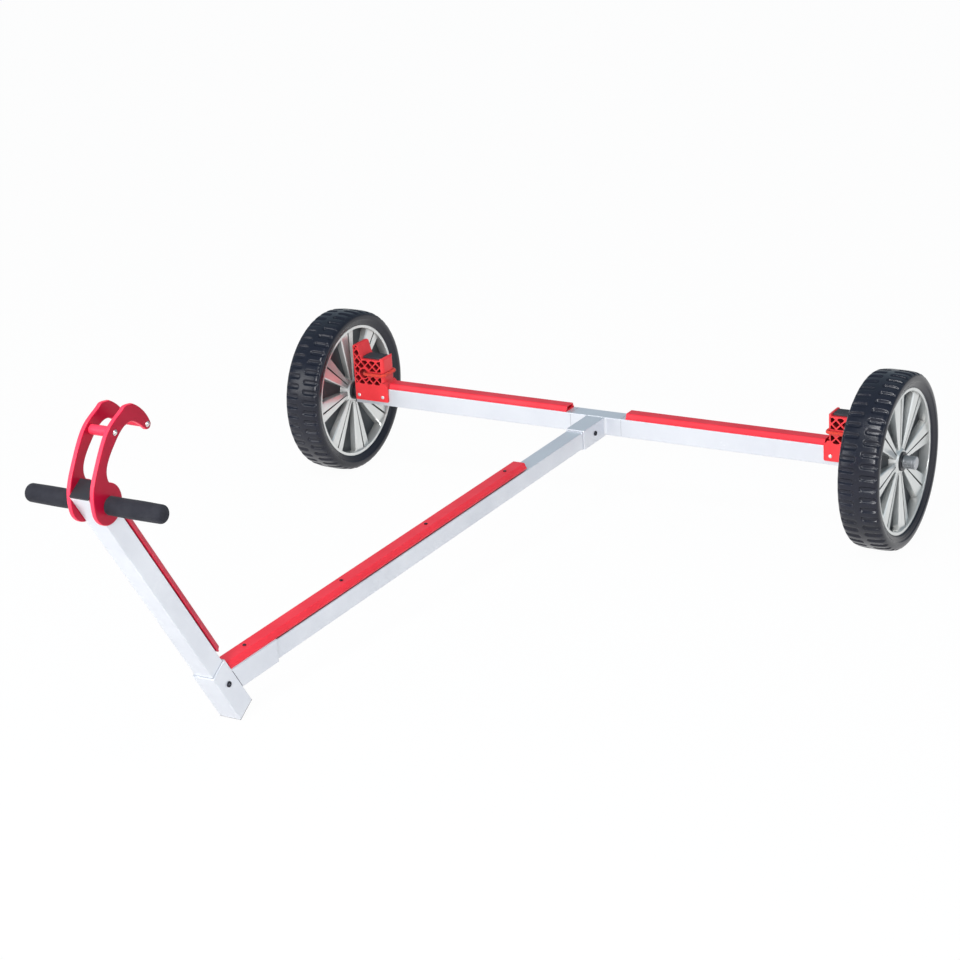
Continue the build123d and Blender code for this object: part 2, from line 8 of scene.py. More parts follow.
import bpy
import numpy as np
from mathutils import Matrix, Vector


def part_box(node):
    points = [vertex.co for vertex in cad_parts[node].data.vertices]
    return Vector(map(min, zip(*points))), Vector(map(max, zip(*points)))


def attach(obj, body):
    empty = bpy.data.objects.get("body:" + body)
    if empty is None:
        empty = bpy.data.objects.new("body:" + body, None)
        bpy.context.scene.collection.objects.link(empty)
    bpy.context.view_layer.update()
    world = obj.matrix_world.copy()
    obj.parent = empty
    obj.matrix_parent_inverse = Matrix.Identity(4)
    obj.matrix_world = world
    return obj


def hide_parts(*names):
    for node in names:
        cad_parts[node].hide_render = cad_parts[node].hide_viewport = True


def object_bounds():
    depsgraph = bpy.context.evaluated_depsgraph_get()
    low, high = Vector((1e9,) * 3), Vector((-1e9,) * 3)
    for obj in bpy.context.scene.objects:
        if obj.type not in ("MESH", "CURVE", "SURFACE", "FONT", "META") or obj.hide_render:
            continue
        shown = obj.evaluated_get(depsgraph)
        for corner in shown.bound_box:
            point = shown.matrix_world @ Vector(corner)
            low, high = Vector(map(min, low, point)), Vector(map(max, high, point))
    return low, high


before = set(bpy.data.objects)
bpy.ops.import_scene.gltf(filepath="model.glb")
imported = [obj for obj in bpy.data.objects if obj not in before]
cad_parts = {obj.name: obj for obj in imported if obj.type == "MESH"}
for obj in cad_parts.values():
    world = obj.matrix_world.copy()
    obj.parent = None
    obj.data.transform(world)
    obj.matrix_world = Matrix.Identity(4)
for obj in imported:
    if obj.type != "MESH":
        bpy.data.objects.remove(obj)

LOG = logging.getLogger("dinghy_dolly")
CAD_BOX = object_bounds()
SIDES = {"left": -1.0, "right": 1.0}
Pair = tuple[float, float]
Triple = tuple[float, float, float]
Colour = Triple
Profile = Sequence[Pair]
Skin = tuple[np.ndarray, list[tuple[int, ...]]]
Socket = bpy.types.NodeSocket
Value = Socket | float | str | Sequence[float]


class Grain(Enum):
    """Which fine relief a finish carries."""

    DRAWN = "long fine lines down an extruded tube"
    MOULDED = "fine orange peel of moulded plastic"
    RUBBER = "dull grain of moulded rubber"
    PORES = "skinned closed-cell foam"
    TURNED = "rings left by a lathe about the axle"
    BRAID = "woven sheath of a cord, on its own UV map"


class Head(Enum):
    """Shape of a fastener's head."""

    SOCKET = "cap head with a hexagonal socket"
    DOME = "plain domed rivet"
    ACORN = "polished domed bolt head on a washer"


class Nodes:
    """Adds nodes to one tree and joins them.

    Attributes:
        prefix: What every node type in the tree begins with, left out of the kinds given to add.
    """

    prefix = ""

    def __init__(self, tree: bpy.types.NodeTree) -> None:
        """Start with an empty tree.

        Args:
            tree: The tree to fill.
        """
        self.tree = tree
        self.tree.nodes.clear()

    def feed(self, node: bpy.types.Node, place: int | str, value: Value) -> None:
        """Link an input to a socket, or set its value.

        Args:
            node: Node that has the input.
            place: The input's number or name.
            value: Socket or plain value.
        """
        if isinstance(value, Socket):
            self.tree.links.new(value, node.inputs[place])
        else:
            node.inputs[place].default_value = value

    def add(self, kind: str, settings: dict | None = None, **inputs: Value) -> bpy.types.Node:
        """Add one node.

        Args:
            kind: Node type without the prefix.
            settings: Attributes of the node itself.
            inputs: Socket values or links, by socket name with _ for a space, or iN for socket N.

        Returns:
            The node.
        """
        node = self.tree.nodes.new(self.prefix + kind)
        for key, value in (settings or {}).items():
            setattr(node, key, value)
        for key, value in inputs.items():
            numbered = key[0] == "i" and key[1:].isdigit()
            self.feed(node, int(key[1:]) if numbered else key.replace("_", " "), value)
        return node


class Graph(Nodes):
    """Shader graph of one material or world."""

    prefix = "ShaderNode"

    def __init__(self, owner: bpy.types.Material | bpy.types.World) -> None:
        """Start an empty graph.

        Args:
            owner: The material or world.
        """
        owner.use_nodes = True
        super().__init__(owner.node_tree)

    def math(self, operation: str, *values: Value) -> Socket:
        """Join values with a Math node.

        Args:
            operation: The node's operation.
            values: Numbers or sockets.

        Returns:
            The node's output.
        """
        inputs = {f"i{index}": value for index, value in enumerate(values)}
        return self.add("Math", {"operation": operation}, **inputs).outputs[0]

    def spread(self, value: Value, low: float, high: float, to_low: float = 0.0,
               to_high: float = 1.0) -> Socket:
        """Map a value from one range to another, held at its ends.

        Args:
            value: Socket to map.
            low: Value that gives to_low.
            high: Value that gives to_high.
            to_low: Result at low.
            to_high: Result at high.

        Returns:
            The mapped output.
        """
        return self.add("MapRange", Value=value, i1=low, i2=high, i3=to_low, i4=to_high).outputs[0]

    def noise(self, vector: Socket, scale: float, detail: float = 4.0, rough: float = 0.55) -> Socket:
        """Noise value.

        Args:
            vector: Coordinates.
            scale: Cells per unit.
            detail: Octaves.
            rough: Weight of the finer octaves.

        Returns:
            The noise output.
        """
        node = self.add("TexNoise", Vector=vector, Scale=scale, Detail=detail, Roughness=rough)
        return node.outputs[0]

    def mix(self, factor: Value, a: Value, b: Value) -> Socket:
        """Mix two colours.

        Args:
            factor: Share of b.
            a: First colour, socket or value.
            b: Second colour, socket or value.

        Returns:
            The mixed colour.
        """
        return self.add("Mix", {"data_type": "RGBA"}, i0=factor, i6=a, i7=b).outputs[2]


    def seen(self, *rays: str) -> Socket:
        """Test for the kind of ray that meets a surface.

        Args:
            rays: Kinds of ray, as in Camera or Glossy.

        Returns:
            1 for these rays and 0 for the others.
        """
        path = self.add("LightPath")
        first, *others = (path.outputs[f"Is {ray} Ray"] for ray in rays)
        for other in others:
            first = self.math("MAXIMUM", first, other)
        return first


def rgba(colour: Colour) -> tuple[float, float, float, float]:
    """Linear colour with full alpha."""
    return (*colour, 1.0)


def placed(name: str, data: bpy.types.ID) -> bpy.types.Object:
    """Put new data in the scene as an object.

    Args:
        name: Name of the object.
        data: Its mesh, curve, lamp or camera.

    Returns:
        The object.
    """
    item = bpy.data.objects.new(name, data)
    bpy.context.scene.collection.objects.link(item)
    return item


# How strongly scuffs lighten and dull a finish, and their patches and lines in each mottling cell.
SCUFF_TINT, SCUFF_ROUGHNESS = 0.5, 0.12
SCUFF_PATCHES, SCUFF_LINES = 2.3, 30.0
# Wear along edges: samples, share of the edge colour, and reach in edge widths.
EDGE_SAMPLES, EDGE_WEAR, EDGE_WEAR_REACH = 4, 0.55, 1.6
# Painted shade in corners and pockets: how open a corner is where the painted shade is full and where
# it ends, and the share of the shade colour left there.
PAINTED_SHADE_OPENING, PAINTED_SHADE_TONE = (0.08, 0.80), 0.24
# Facing across the X axis where a plate's own colour starts and where its rim's is full; the rim's
# colour is the cut edge's lighter tone and painted highlight.
PLATE_FACING = (0.92, 0.45)
# Width of a drawn line in its length, and fine cells of foam and rubber in each of their coarse ones.
DRAWN_STRETCH = 0.006
COARSE_PORES, COARSE_RUBBER = 0.12, 0.18
# Strands of a cord's sheath in each turn of its UV map, in radians.
BRAID_TURN = 50.3


@dataclass(frozen=True)
class Finish:
    """One surface finish, made as a procedural material on object coordinates, with painted shade in
    corners and pockets where asked.

    Attributes:
        name: Name of the material.
        colour: Base colour, linear.
        shade: Colour of the darker mottling.
        edge: Colour that handling or moulding leaves along edges; on a plate's rim it is also painted
            highlight.
        rough: Lowest and highest roughness.
        metallic: Metal share.
        grain: Kind of fine relief.
        scale: Grain cells per metre.
        depth: Height of the relief in metres.
        mottle: Mottling cells per metre.
        edge_width: Width of the softened edge in metres; 0 leaves edges as modelled.
        run: Direction of the drawn lines.
        specular: Specular level.
        sheen: Sheen weight.
        scuffs: Share of surface with fine scuffs.
        plate: True for a plate across the X axis whose rim keeps the edge colour: the cut edge's
            lighter tone, with painted highlight along it.
        painted_shade_reach: Reach in metres of the shade painted into corners and pockets; 0 leaves
            them plain.
    """

    name: str
    colour: Colour
    shade: Colour
    edge: Colour
    rough: Pair = (0.4, 0.5)
    metallic: float = 0.0
    grain: Grain = Grain.MOULDED
    scale: float = 900.0
    depth: float = 0.0001
    mottle: float = 9.0
    edge_width: float = 0.0012
    run: Triple = (1.0, 0.0, 0.0)
    specular: float = 0.5
    sheen: float = 0.0
    scuffs: float = 0.25
    plate: bool = False
    painted_shade_reach: float = 0.0

    def material(self) -> bpy.types.Material:
        """Build the material.

        Returns:
            The material, ready to assign.
        """
        material = bpy.data.materials.new(self.name)
        graph = Graph(material)
        place = graph.add("TexCoord").outputs["Object"]
        relief = self.relief(graph, place)
        mottling = graph.noise(place, self.mottle, 5.0, 0.6)
        scuff = self.scuff_mask(graph, place)
        edge = self.edge_mask(graph)
        tone = graph.mix(graph.spread(mottling, 0.35, 0.68), rgba(self.colour), rgba(self.shade))
        worn = graph.mix(graph.math("MULTIPLY", scuff, SCUFF_TINT), tone, rgba(self.edge))
        colour = graph.mix(edge, worn, rgba(self.edge))
        # Painted shade: ambient occlusion darkens the colour in corners and pockets.
        if self.painted_shade_reach > 0:
            opening = graph.add("AmbientOcclusion", {"samples": 6}, Distance=self.painted_shade_reach)
            painted_shade_share = graph.spread(opening.outputs["AO"], *PAINTED_SHADE_OPENING, 1.0, 0.0)
            colour = graph.mix(painted_shade_share, colour, rgba(tuple(PAINTED_SHADE_TONE * part for part in self.shade)))
        rough = graph.spread(mottling, 0.3, 0.7, *self.rough)
        rough = graph.math("ADD", rough, graph.math("MULTIPLY", scuff, SCUFF_ROUGHNESS))
        bump = graph.add("Bump", Strength=1.0, Distance=self.depth, Height=relief)
        if self.edge_width > 0:
            soft = graph.add("Bevel", {"samples": EDGE_SAMPLES}, Radius=self.edge_width)
            graph.feed(bump, "Normal", soft.outputs[0])
        shader = graph.add(
            "BsdfPrincipled", Base_Color=colour, Roughness=rough, Metallic=self.metallic,
            Specular_IOR_Level=self.specular, Sheen_Weight=self.sheen, Normal=bump.outputs[0])
        graph.add("OutputMaterial", Surface=shader.outputs[0])
        return material

    def edge_mask(self, graph: Graph) -> Socket | float:
        """Mask along sharp edges, from the difference between softened and real normals.

        Args:
            graph: Graph to add to.

        Returns:
            Mask socket, or 0 where the finish has no softened edge.
        """
        # A plate's rim takes the edge colour: its cut edge's lighter tone, and painted highlight.
        if self.plate:
            facing = graph.add("SeparateXYZ", Vector=graph.add("TexCoord").outputs["Normal"])
            return graph.spread(graph.math("ABSOLUTE", facing.outputs[0]), *PLATE_FACING)
        if self.edge_width <= 0:
            return 0.0
        wide = graph.add("Bevel", {"samples": EDGE_SAMPLES}, Radius=self.edge_width * EDGE_WEAR_REACH)
        real = graph.add("NewGeometry").outputs["True Normal"]
        match = graph.add("VectorMath", {"operation": "DOT_PRODUCT"}, i0=wide.outputs[0], i1=real)
        return graph.spread(match.outputs["Value"], 0.97, 0.72, 0.0, EDGE_WEAR)

    def scuff_mask(self, graph: Graph, place: Socket) -> Socket:
        """Sparse mask of fine scuffs.

        Args:
            graph: Graph to add to.
            place: Object coordinates.

        Returns:
            Mask socket.
        """
        patch = graph.noise(place, self.mottle * SCUFF_PATCHES, 3.0, 0.7)
        line = graph.noise(place, self.mottle * SCUFF_LINES, 2.0, 0.8)
        patch = graph.spread(patch, 0.72 - 0.25 * self.scuffs, 0.8)
        return graph.math("MULTIPLY", patch, graph.spread(line, 0.5, 0.62))

    def relief(self, graph: Graph, place: Socket) -> Socket:
        """Height of the finish's fine relief.

        Args:
            graph: Graph to add to.
            place: Object coordinates.

        Returns:
            Height socket.
        """
        if self.grain is Grain.DRAWN:
            x, y, z = self.run
            turn = (0.0, math.pi / 2, 0.0) if abs(x) > 0.5 else (math.atan2(y, z), 0.0, 0.0)
            turned = graph.add("Mapping", Vector=place, Rotation=turn).outputs[0]
            fine = (self.scale, self.scale, self.scale * DRAWN_STRETCH)
            lines = graph.add("Mapping", Vector=turned, Scale=fine).outputs[0]
            return graph.noise(lines, 1.0, 3.0, 0.5)
        if self.grain is Grain.TURNED:
            parts = graph.add("SeparateXYZ", Vector=place)
            ring = graph.add("CombineXYZ", X=parts.outputs[0])
            return graph.noise(ring.outputs[0], self.scale, 2.0, 0.7)
        if self.grain is Grain.PORES:
            cells = graph.add("TexVoronoi", Vector=place, Scale=self.scale).outputs["Distance"]
            soft = graph.noise(place, self.scale * COARSE_PORES, 3.0, 0.6)
            return graph.math("ADD", graph.math("MULTIPLY", cells, 0.5), soft)
        if self.grain is Grain.BRAID:
            return self.braid(graph)
        if self.grain is Grain.RUBBER:
            coarse = graph.noise(place, self.scale * COARSE_RUBBER, 3.0, 0.6)
            return graph.math("ADD", coarse, graph.noise(place, self.scale, 4.0, 0.6))
        return graph.noise(place, self.scale, 5.0, 0.6)

    @staticmethod
    def braid(graph: Graph) -> Socket:
        """Crossed strands on the cord's UV map, u round it and v along it in turns.

        Args:
            graph: Graph to add to.

        Returns:
            Height socket.
        """
        parts = graph.add("SeparateXYZ", Vector=graph.add("UVMap").outputs[0])
        around = graph.math("MULTIPLY", parts.outputs[0], BRAID_TURN)
        along = graph.math("MULTIPLY", parts.outputs[1], BRAID_TURN)
        one = graph.math("SINE", graph.math("ADD", around, along))
        two = graph.math("SINE", graph.math("SUBTRACT", around, along))
        return graph.math("ABSOLUTE", graph.math("MULTIPLY", one, two))


ALUMINIUM: Colour = (0.76, 0.77, 0.81)
ALUMINIUM_SHADE: Colour = (0.70, 0.71, 0.755)
ALUMINIUM_EDGE: Colour = (0.95, 0.95, 0.96)
RED: Colour = (0.84, 0.030, 0.050)
SATIN = (0.34, 0.46)
# Reach of the shade painted on the keel tube and the post tube beside their neighbours.
KEEL_PAINTED_SHADE, POST_PAINTED_SHADE = 0.008, 0.030


def drawn(name: str, run: Vector, painted_shade_reach: float = 0.0) -> Finish:
    """Mill finish of an extruded tube.

    Args:
        name: Name of the material.
        run: Direction of the tube.
        painted_shade_reach: Reach of the shade painted beside its neighbours.

    Returns:
        The finish.
    """
    return Finish(name, ALUMINIUM, ALUMINIUM_SHADE, ALUMINIUM_EDGE, rough=SATIN, metallic=0.55,
                  grain=Grain.DRAWN, scale=1600.0, depth=0.000006, mottle=6.0, run=tuple(run),
                  scuffs=0.2, painted_shade_reach=painted_shade_reach)


def bumper(name: str, colour: Colour, shade: Colour, edge: Colour) -> Finish:
    """Satin moulded strip.

    Args:
        name: Name of the material.
        colour: Base colour.
        shade: Colour of the mottling.
        edge: Colour along edges.

    Returns:
        The finish.
    """
    return Finish(name, colour, shade, edge, rough=SATIN, scale=1400.0, depth=0.000008, mottle=12.0,
                  specular=0.35, scuffs=0.1)


def bolt_head(name: str, colour: Colour, shade: Colour, edge: Colour, rough: Pair, metallic: float,
              depth: float = 0.00003) -> Finish:
    """Metal of a small head.

    Args:
        name: Name of the material.
        colour: Base colour.
        shade: Colour of the mottling.
        edge: Colour along edges.
        rough: Lowest and highest roughness.
        metallic: Metal share.
        depth: Height of the relief.

    Returns:
        The finish.
    """
    return Finish(name, colour, shade, edge, rough=rough, metallic=metallic, scale=2500.0, depth=depth,
                  mottle=90.0, edge_width=0.0004)


RED_BUMPER = bumper("red_bumper", RED, (0.76, 0.022, 0.040), (0.90, 0.09, 0.11))
# The post strip's red is the strip red darkened: painted shade for a side that faces away from the
# light.
RED_POST_PAINTED_SHADE = bumper("red_post_painted_shade", (0.60, 0.018, 0.048), (0.54, 0.014, 0.040), (0.84, 0.07, 0.11))
# The block's lattice pockets carry painted shade.
RED_BLOCK = Finish("red_block", (0.86, 0.046, 0.054), (0.78, 0.034, 0.042), (0.92, 0.13, 0.14),
                   rough=SATIN, scale=1100.0, depth=0.00002, mottle=25.0, edge_width=0.0009,
                   specular=0.35, scuffs=0.1, painted_shade_reach=0.022)
# The horn's rim colour is the cut edge's lighter tone and also painted highlight along its edges.
RED_HORN = Finish("red_horn", (0.40, 0.004, 0.028), (0.34, 0.003, 0.022), (0.88, 0.045, 0.090),
                  rough=(0.28, 0.38), scale=900.0, depth=0.000008, mottle=10.0, edge_width=0.0010,
                  specular=0.2, scuffs=0.05, plate=True)
BLACK_PLASTIC = Finish("black_plastic", (0.022, 0.023, 0.028), (0.014, 0.015, 0.019),
                       (0.06, 0.06, 0.07), rough=(0.34, 0.5), depth=0.00005, mottle=30.0)
CORE_PLASTIC = Finish("core_plastic", (0.030, 0.036, 0.042), (0.018, 0.022, 0.027),
                      (0.06, 0.065, 0.07), rough=(0.42, 0.6), scale=700.0, mottle=14.0)
# The rim's spokes and the spaces between them carry painted shade.
RIM_PLASTIC = Finish("rim_plastic", (0.77, 0.77, 0.75), (0.70, 0.70, 0.685), (0.96, 0.96, 0.94),
                     rough=(0.20, 0.28), metallic=0.60, scale=800.0, depth=0.00001, mottle=7.0,
                     scuffs=0.0, painted_shade_reach=0.042)
FOAM = Finish("foam_grip", (0.024, 0.024, 0.031), (0.016, 0.016, 0.022), (0.05, 0.05, 0.06),
              rough=(0.72, 0.86), grain=Grain.PORES, scale=1500.0, depth=0.00025, mottle=30.0,
              edge_width=0.0, specular=0.15, sheen=0.05)
PAD_RUBBER = Finish("pad_rubber", (0.034, 0.038, 0.046), (0.024, 0.027, 0.033), (0.08, 0.085, 0.09),
                    rough=(0.58, 0.74), grain=Grain.RUBBER, scale=1300.0, depth=0.00018, mottle=40.0,
                    edge_width=0.0)
TYRE_RUBBER = Finish("tyre_rubber", (0.009, 0.010, 0.020), (0.005, 0.006, 0.013), (0.03, 0.032, 0.045),
                     rough=(0.19, 0.28), grain=Grain.RUBBER, scale=1500.0, depth=0.00004, mottle=9.0,
                     edge_width=0.0, specular=0.40, scuffs=0.1)
CORD_SHEATH = Finish("red_cord", (0.95, 0.055, 0.026), (0.88, 0.036, 0.018), (0.97, 0.16, 0.09),
                     rough=(0.50, 0.66), grain=Grain.BRAID, depth=0.0006, mottle=60.0, edge_width=0.0,
                     sheen=0.1)
AXLE_STEEL = Finish("axle_steel", (0.62, 0.62, 0.63), (0.54, 0.54, 0.55), (0.75, 0.75, 0.76),
                    rough=(0.2, 0.32), metallic=1.0, grain=Grain.TURNED, scale=2200.0, depth=0.00004,
                    mottle=40.0, edge_width=0.0006)
RETAINER = Finish("retainer_plastic", (0.42, 0.43, 0.45), (0.35, 0.36, 0.38), (0.60, 0.61, 0.62),
                  rough=(0.24, 0.36), metallic=0.75, grain=Grain.TURNED, scale=1800.0, depth=0.00004,
                  mottle=40.0, edge_width=0.0006)
BLACK_STEEL = bolt_head("black_bolt_steel", (0.035, 0.035, 0.045), (0.022, 0.022, 0.03),
                        (0.16, 0.16, 0.18), (0.28, 0.4), 0.8)
POLISHED = bolt_head("polished_bolt_steel", (0.72, 0.71, 0.70), (0.62, 0.61, 0.60),
                     (0.86, 0.86, 0.86), (0.12, 0.22), 1.0, depth=0.00002)
RIVET_WHITE = bolt_head("rivet_alloy", (0.80, 0.79, 0.78), (0.70, 0.69, 0.68), (0.88, 0.88, 0.88),
                        (0.28, 0.4), 0.5)
JOINT_GAP = Finish("joint_gap", (0.10, 0.10, 0.12), (0.08, 0.08, 0.10), (0.14, 0.14, 0.16),
                   rough=(0.5, 0.6), edge_width=0.0, specular=0.2)
# A pale strip of painted highlight along the tee's front upper edge.
PAINTED_EDGE_HIGHLIGHT = Finish("painted_edge_highlight", (0.93, 0.93, 0.95), (0.88, 0.88, 0.90), (0.95, 0.95, 0.96),
                   rough=(0.3, 0.4), metallic=0.3, edge_width=0.0)

# Rounds that bring the chassis's tip and the keel tube's box into step.
TIP_ROUNDS = 8


@dataclass
class Layout:
    """The dolly's own axes in the row frame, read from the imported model.

    Attributes:
        run_size: Outside size of keel and post tubes.
        keel_length: From the axle to the point where keel and post axes cross.
        keel_drop: Keel axis below the axle.
        post_angle: Angle between post and keel in degrees.
        handle_height: Handle above the crossing, along the post.
        handle_back: Handle behind the post's axis.
    """

    run_size: float = 0.040
    keel_length: float = 1.528
    keel_drop: float = 0.002
    post_angle: float = 58.3
    handle_height: float = 0.5265
    handle_back: float = 0.0035
    level: Matrix = field(init=False)
    post: Matrix = field(init=False)
    horn: Matrix = field(init=False)

    def __post_init__(self) -> None:
        """Work out the tip of the chassis from the keel tube's box, and the frames from that."""
        low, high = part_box("stub_axle_right")
        axle = Vector((0.0, (low.y + high.y) / 2, (low.z + high.z) / 2))
        low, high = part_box("keel_tube")
        tip = 0.0
        for _ in range(TIP_ROUNDS):
            rise = (high.z - low.z) - self.run_size * math.cos(tip)
            tip = math.atan2(rise, (high.y - low.y) - self.run_size * math.sin(tip))
        self.level = Matrix.Translation(axle) @ Matrix.Rotation(tip, 4, "X")
        crossing = Matrix.Translation((0.0, -self.keel_length, -self.keel_drop))
        lean = Matrix.Rotation(math.radians(90.0 - self.post_angle), 4, "X")
        self.post = self.level @ crossing @ lean
        self.horn = self.post @ Matrix.Translation((0.0, self.handle_back, self.handle_height))
        LOG.info("axle at %s, chassis tipped %.3f degrees", tuple(round(v, 4) for v in axle),
                 math.degrees(tip))

    @staticmethod
    def direction(frame_of: Matrix, axis: Triple) -> Vector:
        """Direction in the row frame.

        Args:
            frame_of: One of the layout's frames.
            axis: Direction in it.

        Returns:
            The unit vector.
        """
        return (frame_of.to_3x3() @ Vector(axis)).normalized()


def mesh_from(name: str, verts: np.ndarray, faces: Iterable[Sequence[int]],
              uvs: Sequence[Profile] | None = None) -> bpy.types.Mesh:
    """Make a smooth mesh.

    Args:
        name: Name of the mesh.
        verts: Points, one row each.
        faces: Vertex numbers of each face, seen from outside anticlockwise.
        uvs: UV pairs of each face's corners.

    Returns:
        The mesh.
    """
    mesh = bpy.data.meshes.new(name)
    mesh.from_pydata([tuple(v) for v in verts], [], [tuple(f) for f in faces])
    if uvs is not None:
        layer = mesh.uv_layers.new(name="UVMap")
        layer.data.foreach_set("uv", np.array(uvs, np.float32).reshape(-1))
    mesh.polygons.foreach_set("use_smooth", [True] * len(mesh.polygons))
    mesh.update()
    return mesh


def revolve(profile: Profile, segments: int,
            radius: Callable[[int, float, float], float] | None = None) -> Skin:
    """Turn (radius, height) points about Z into a closed skin; the first and last lie on the axis.

    Args:
        profile: Points from the bottom centre, outward and up, to the top centre.
        segments: Steps round the axis.
        radius: Changes a ring's radius by its number and the angle.

    Returns:
        Vertices and faces.
    """
    rings = profile[1:-1]
    verts = [(0.0, 0.0, profile[0][1])]
    for number, (reach, height) in enumerate(rings):
        for step in range(segments):
            angle = math.tau * step / segments
            here = radius(number, angle, reach) if radius else reach
            verts.append((here * math.cos(angle), here * math.sin(angle), height))
    last = len(verts)
    verts.append((0.0, 0.0, profile[-1][1]))
    faces: list[tuple[int, ...]] = []
    for step in range(segments):
        after = (step + 1) % segments
        faces.append((0, 1 + after, 1 + step))
        for row in range(len(rings) - 1):
            low, high = 1 + row * segments, 1 + (row + 1) * segments
            faces.append((low + step, low + after, high + after, high + step))
        top = 1 + (len(rings) - 1) * segments
        faces.append((top + step, top + after, last))
    return np.array(verts), faces


def eased(share: float) -> float:
    """Smooth step from 0 to 1, held at both ends.

    Args:
        share: Where along the step.

    Returns:
        Height of the step there.
    """
    held = min(max(share, 0.0), 1.0)
    return held * held * (3 - 2 * held)


class Workshop:
    """Makes plain mesh objects, runs node groups over them, and joins pieces to bodies."""

    def __init__(self) -> None:
        """Keep one material per finish."""
        self.materials: dict[str, bpy.types.Material] = {}

    def material(self, finish: Finish) -> bpy.types.Material:
        """Material of a finish, made once.

        Args:
            finish: The finish.

        Returns:
            The material.
        """
        if finish.name not in self.materials:
            self.materials[finish.name] = finish.material()
        return self.materials[finish.name]

    def dress(self, finish: Finish, *nodes: str) -> None:
        """Give carried-over CAD nodes a finish.

        Args:
            finish: The finish.
            nodes: Names of the nodes.
        """
        for name in nodes:
            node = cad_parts[name]
            if not node.material_slots:
                node.data.materials.append(None)
            for slot in node.material_slots:
                slot.material = self.material(finish)
            LOG.info("%s: %s", name, finish.name)

    def piece(self, name: str, mesh: bpy.types.Mesh, finish: Finish, body: str, slot: str,
              *replaced: str) -> bpy.types.Object:
        """Add a finished piece to a body.

        Args:
            name: Name of the piece.
            mesh: Mesh in the row frame.
            finish: Its finish.
            body: Body that it rides on.
            slot: Name of the slot for its finish; not used.
            replaced: CAD nodes that it stands for.

        Returns:
            The object.
        """
        mesh.materials.clear()
        mesh.materials.append(self.material(finish))
        item = placed(name, mesh)
        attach(item, body)
        if replaced:
            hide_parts(*replaced)
        LOG.info("%s: %d faces", name, len(mesh.polygons))
        return item

    @staticmethod
    def grown(source: bpy.types.Mesh, group: bpy.types.NodeTree, **values: object) -> bpy.types.Mesh:
        """Run a node group over a mesh and return the plain result.

        Args:
            source: Mesh that enters the group.
            group: The node group.
            values: Values of its named inputs, with _ for a space.

        Returns:
            A new mesh with no modifier.
        """
        item = placed("growing", source)
        modifier = item.modifiers.new("grow", "NODES")
        modifier.node_group = group
        for key, value in values.items():
            name = key.replace("_", " ")
            socket = next(entry for entry in group.interface.items_tree
                          if entry.name == name and entry.in_out == "INPUT")
            modifier[socket.identifier] = value
        bpy.context.view_layer.update()
        graph = bpy.context.evaluated_depsgraph_get()
        mesh = bpy.data.meshes.new_from_object(item.evaluated_get(graph), depsgraph=graph)
        bpy.data.objects.remove(item)
        return mesh


class NodeGroup(Nodes):
    """A Geometry Nodes tree with named inputs, ending in Realize Instances and Set Material."""

    def __init__(self, name: str, inputs: dict[str, str]) -> None:
        """Start the tree.

        Args:
            name: Name of the tree.
            inputs: Socket type of each named input.
        """
        super().__init__(bpy.data.node_groups.new(name, "GeometryNodeTree"))
        for label, kind in inputs.items():
            self.tree.interface.new_socket(label, in_out="INPUT", socket_type="NodeSocket" + kind)
        self.tree.interface.new_socket("Mesh", in_out="OUTPUT", socket_type="NodeSocketGeometry")
        self.inputs = self.add("NodeGroupInput").outputs
        self.output = self.add("NodeGroupOutput")

    def close(self, instances: Socket, material: Socket,
              weld: float = 0.0) -> bpy.types.NodeTree:
        """Realize the instances, weld them if asked, and set the material.

        Args:
            instances: What to realize.
            material: Material input.
            weld: Distance below which points are joined.

        Returns:
            The finished tree.
        """
        mesh = self.add("GeometryNodeRealizeInstances", Geometry=instances).outputs[0]
        if weld:
            mesh = self.add("GeometryNodeMergeByDistance", Geometry=mesh, Distance=weld).outputs[0]
        done = self.add("GeometryNodeSetMaterial", Geometry=mesh, Material=material)
        self.feed(self.output, 0, done.outputs[0])
        return self.tree


# Distance below which a ring's segments join.
RING_WELD = 0.00002


def ring_group() -> bpy.types.NodeTree:
    """Tree that repeats one segment round the X axis and welds the ring.

    Returns:
        The tree, with inputs Segment, Count and Finish.
    """
    group = NodeGroup("ring_of_segments", {"Segment": "Geometry", "Count": "Int", "Finish": "Material"})
    count = group.inputs["Count"]
    line = group.add("GeometryNodeMeshLine", {"mode": "OFFSET"}, Count=count, Offset=(0.0, 0.0, 0.0))
    share = group.add("ShaderNodeMath", {"operation": "DIVIDE"}, i0=math.tau, i1=count)
    turn = group.add("ShaderNodeMath", {"operation": "MULTIPLY"}, i0=share.outputs[0],
                     i1=group.add("GeometryNodeInputIndex").outputs[0])
    spin = group.add("FunctionNodeAxisAngleToRotation", Axis=(1.0, 0.0, 0.0), Angle=turn.outputs[0])
    copies = group.add("GeometryNodeInstanceOnPoints", Points=line.outputs[0],
                       Instance=group.inputs["Segment"], Rotation=spin.outputs[0])
    return group.close(copies.outputs[0], group.inputs["Finish"], weld=RING_WELD)


def marks_group() -> bpy.types.NodeTree:
    """Tree that sets one part on every mark, turned by the mark's own Euler angles.

    Returns:
        The tree, with inputs Marks, Part and Finish.
    """
    group = NodeGroup("part_on_marks", {"Marks": "Geometry", "Part": "Object", "Finish": "Material"})
    part = group.add("GeometryNodeObjectInfo", {"transform_space": "ORIGINAL"},
                     Object=group.inputs["Part"])
    turn = group.add("GeometryNodeInputNamedAttribute", {"data_type": "FLOAT_VECTOR"}, Name="turn")
    spin = group.add("FunctionNodeEulerToRotation", Euler=turn.outputs[0])
    copies = group.add("GeometryNodeInstanceOnPoints", Points=group.inputs["Marks"],
                       Instance=part.outputs["Geometry"], Rotation=spin.outputs[0])
    return group.close(copies.outputs[0], group.inputs["Finish"])


# How far a slot's depth turns from straight down to sideways over the shoulder.
SLOT_LEAN = 0.8


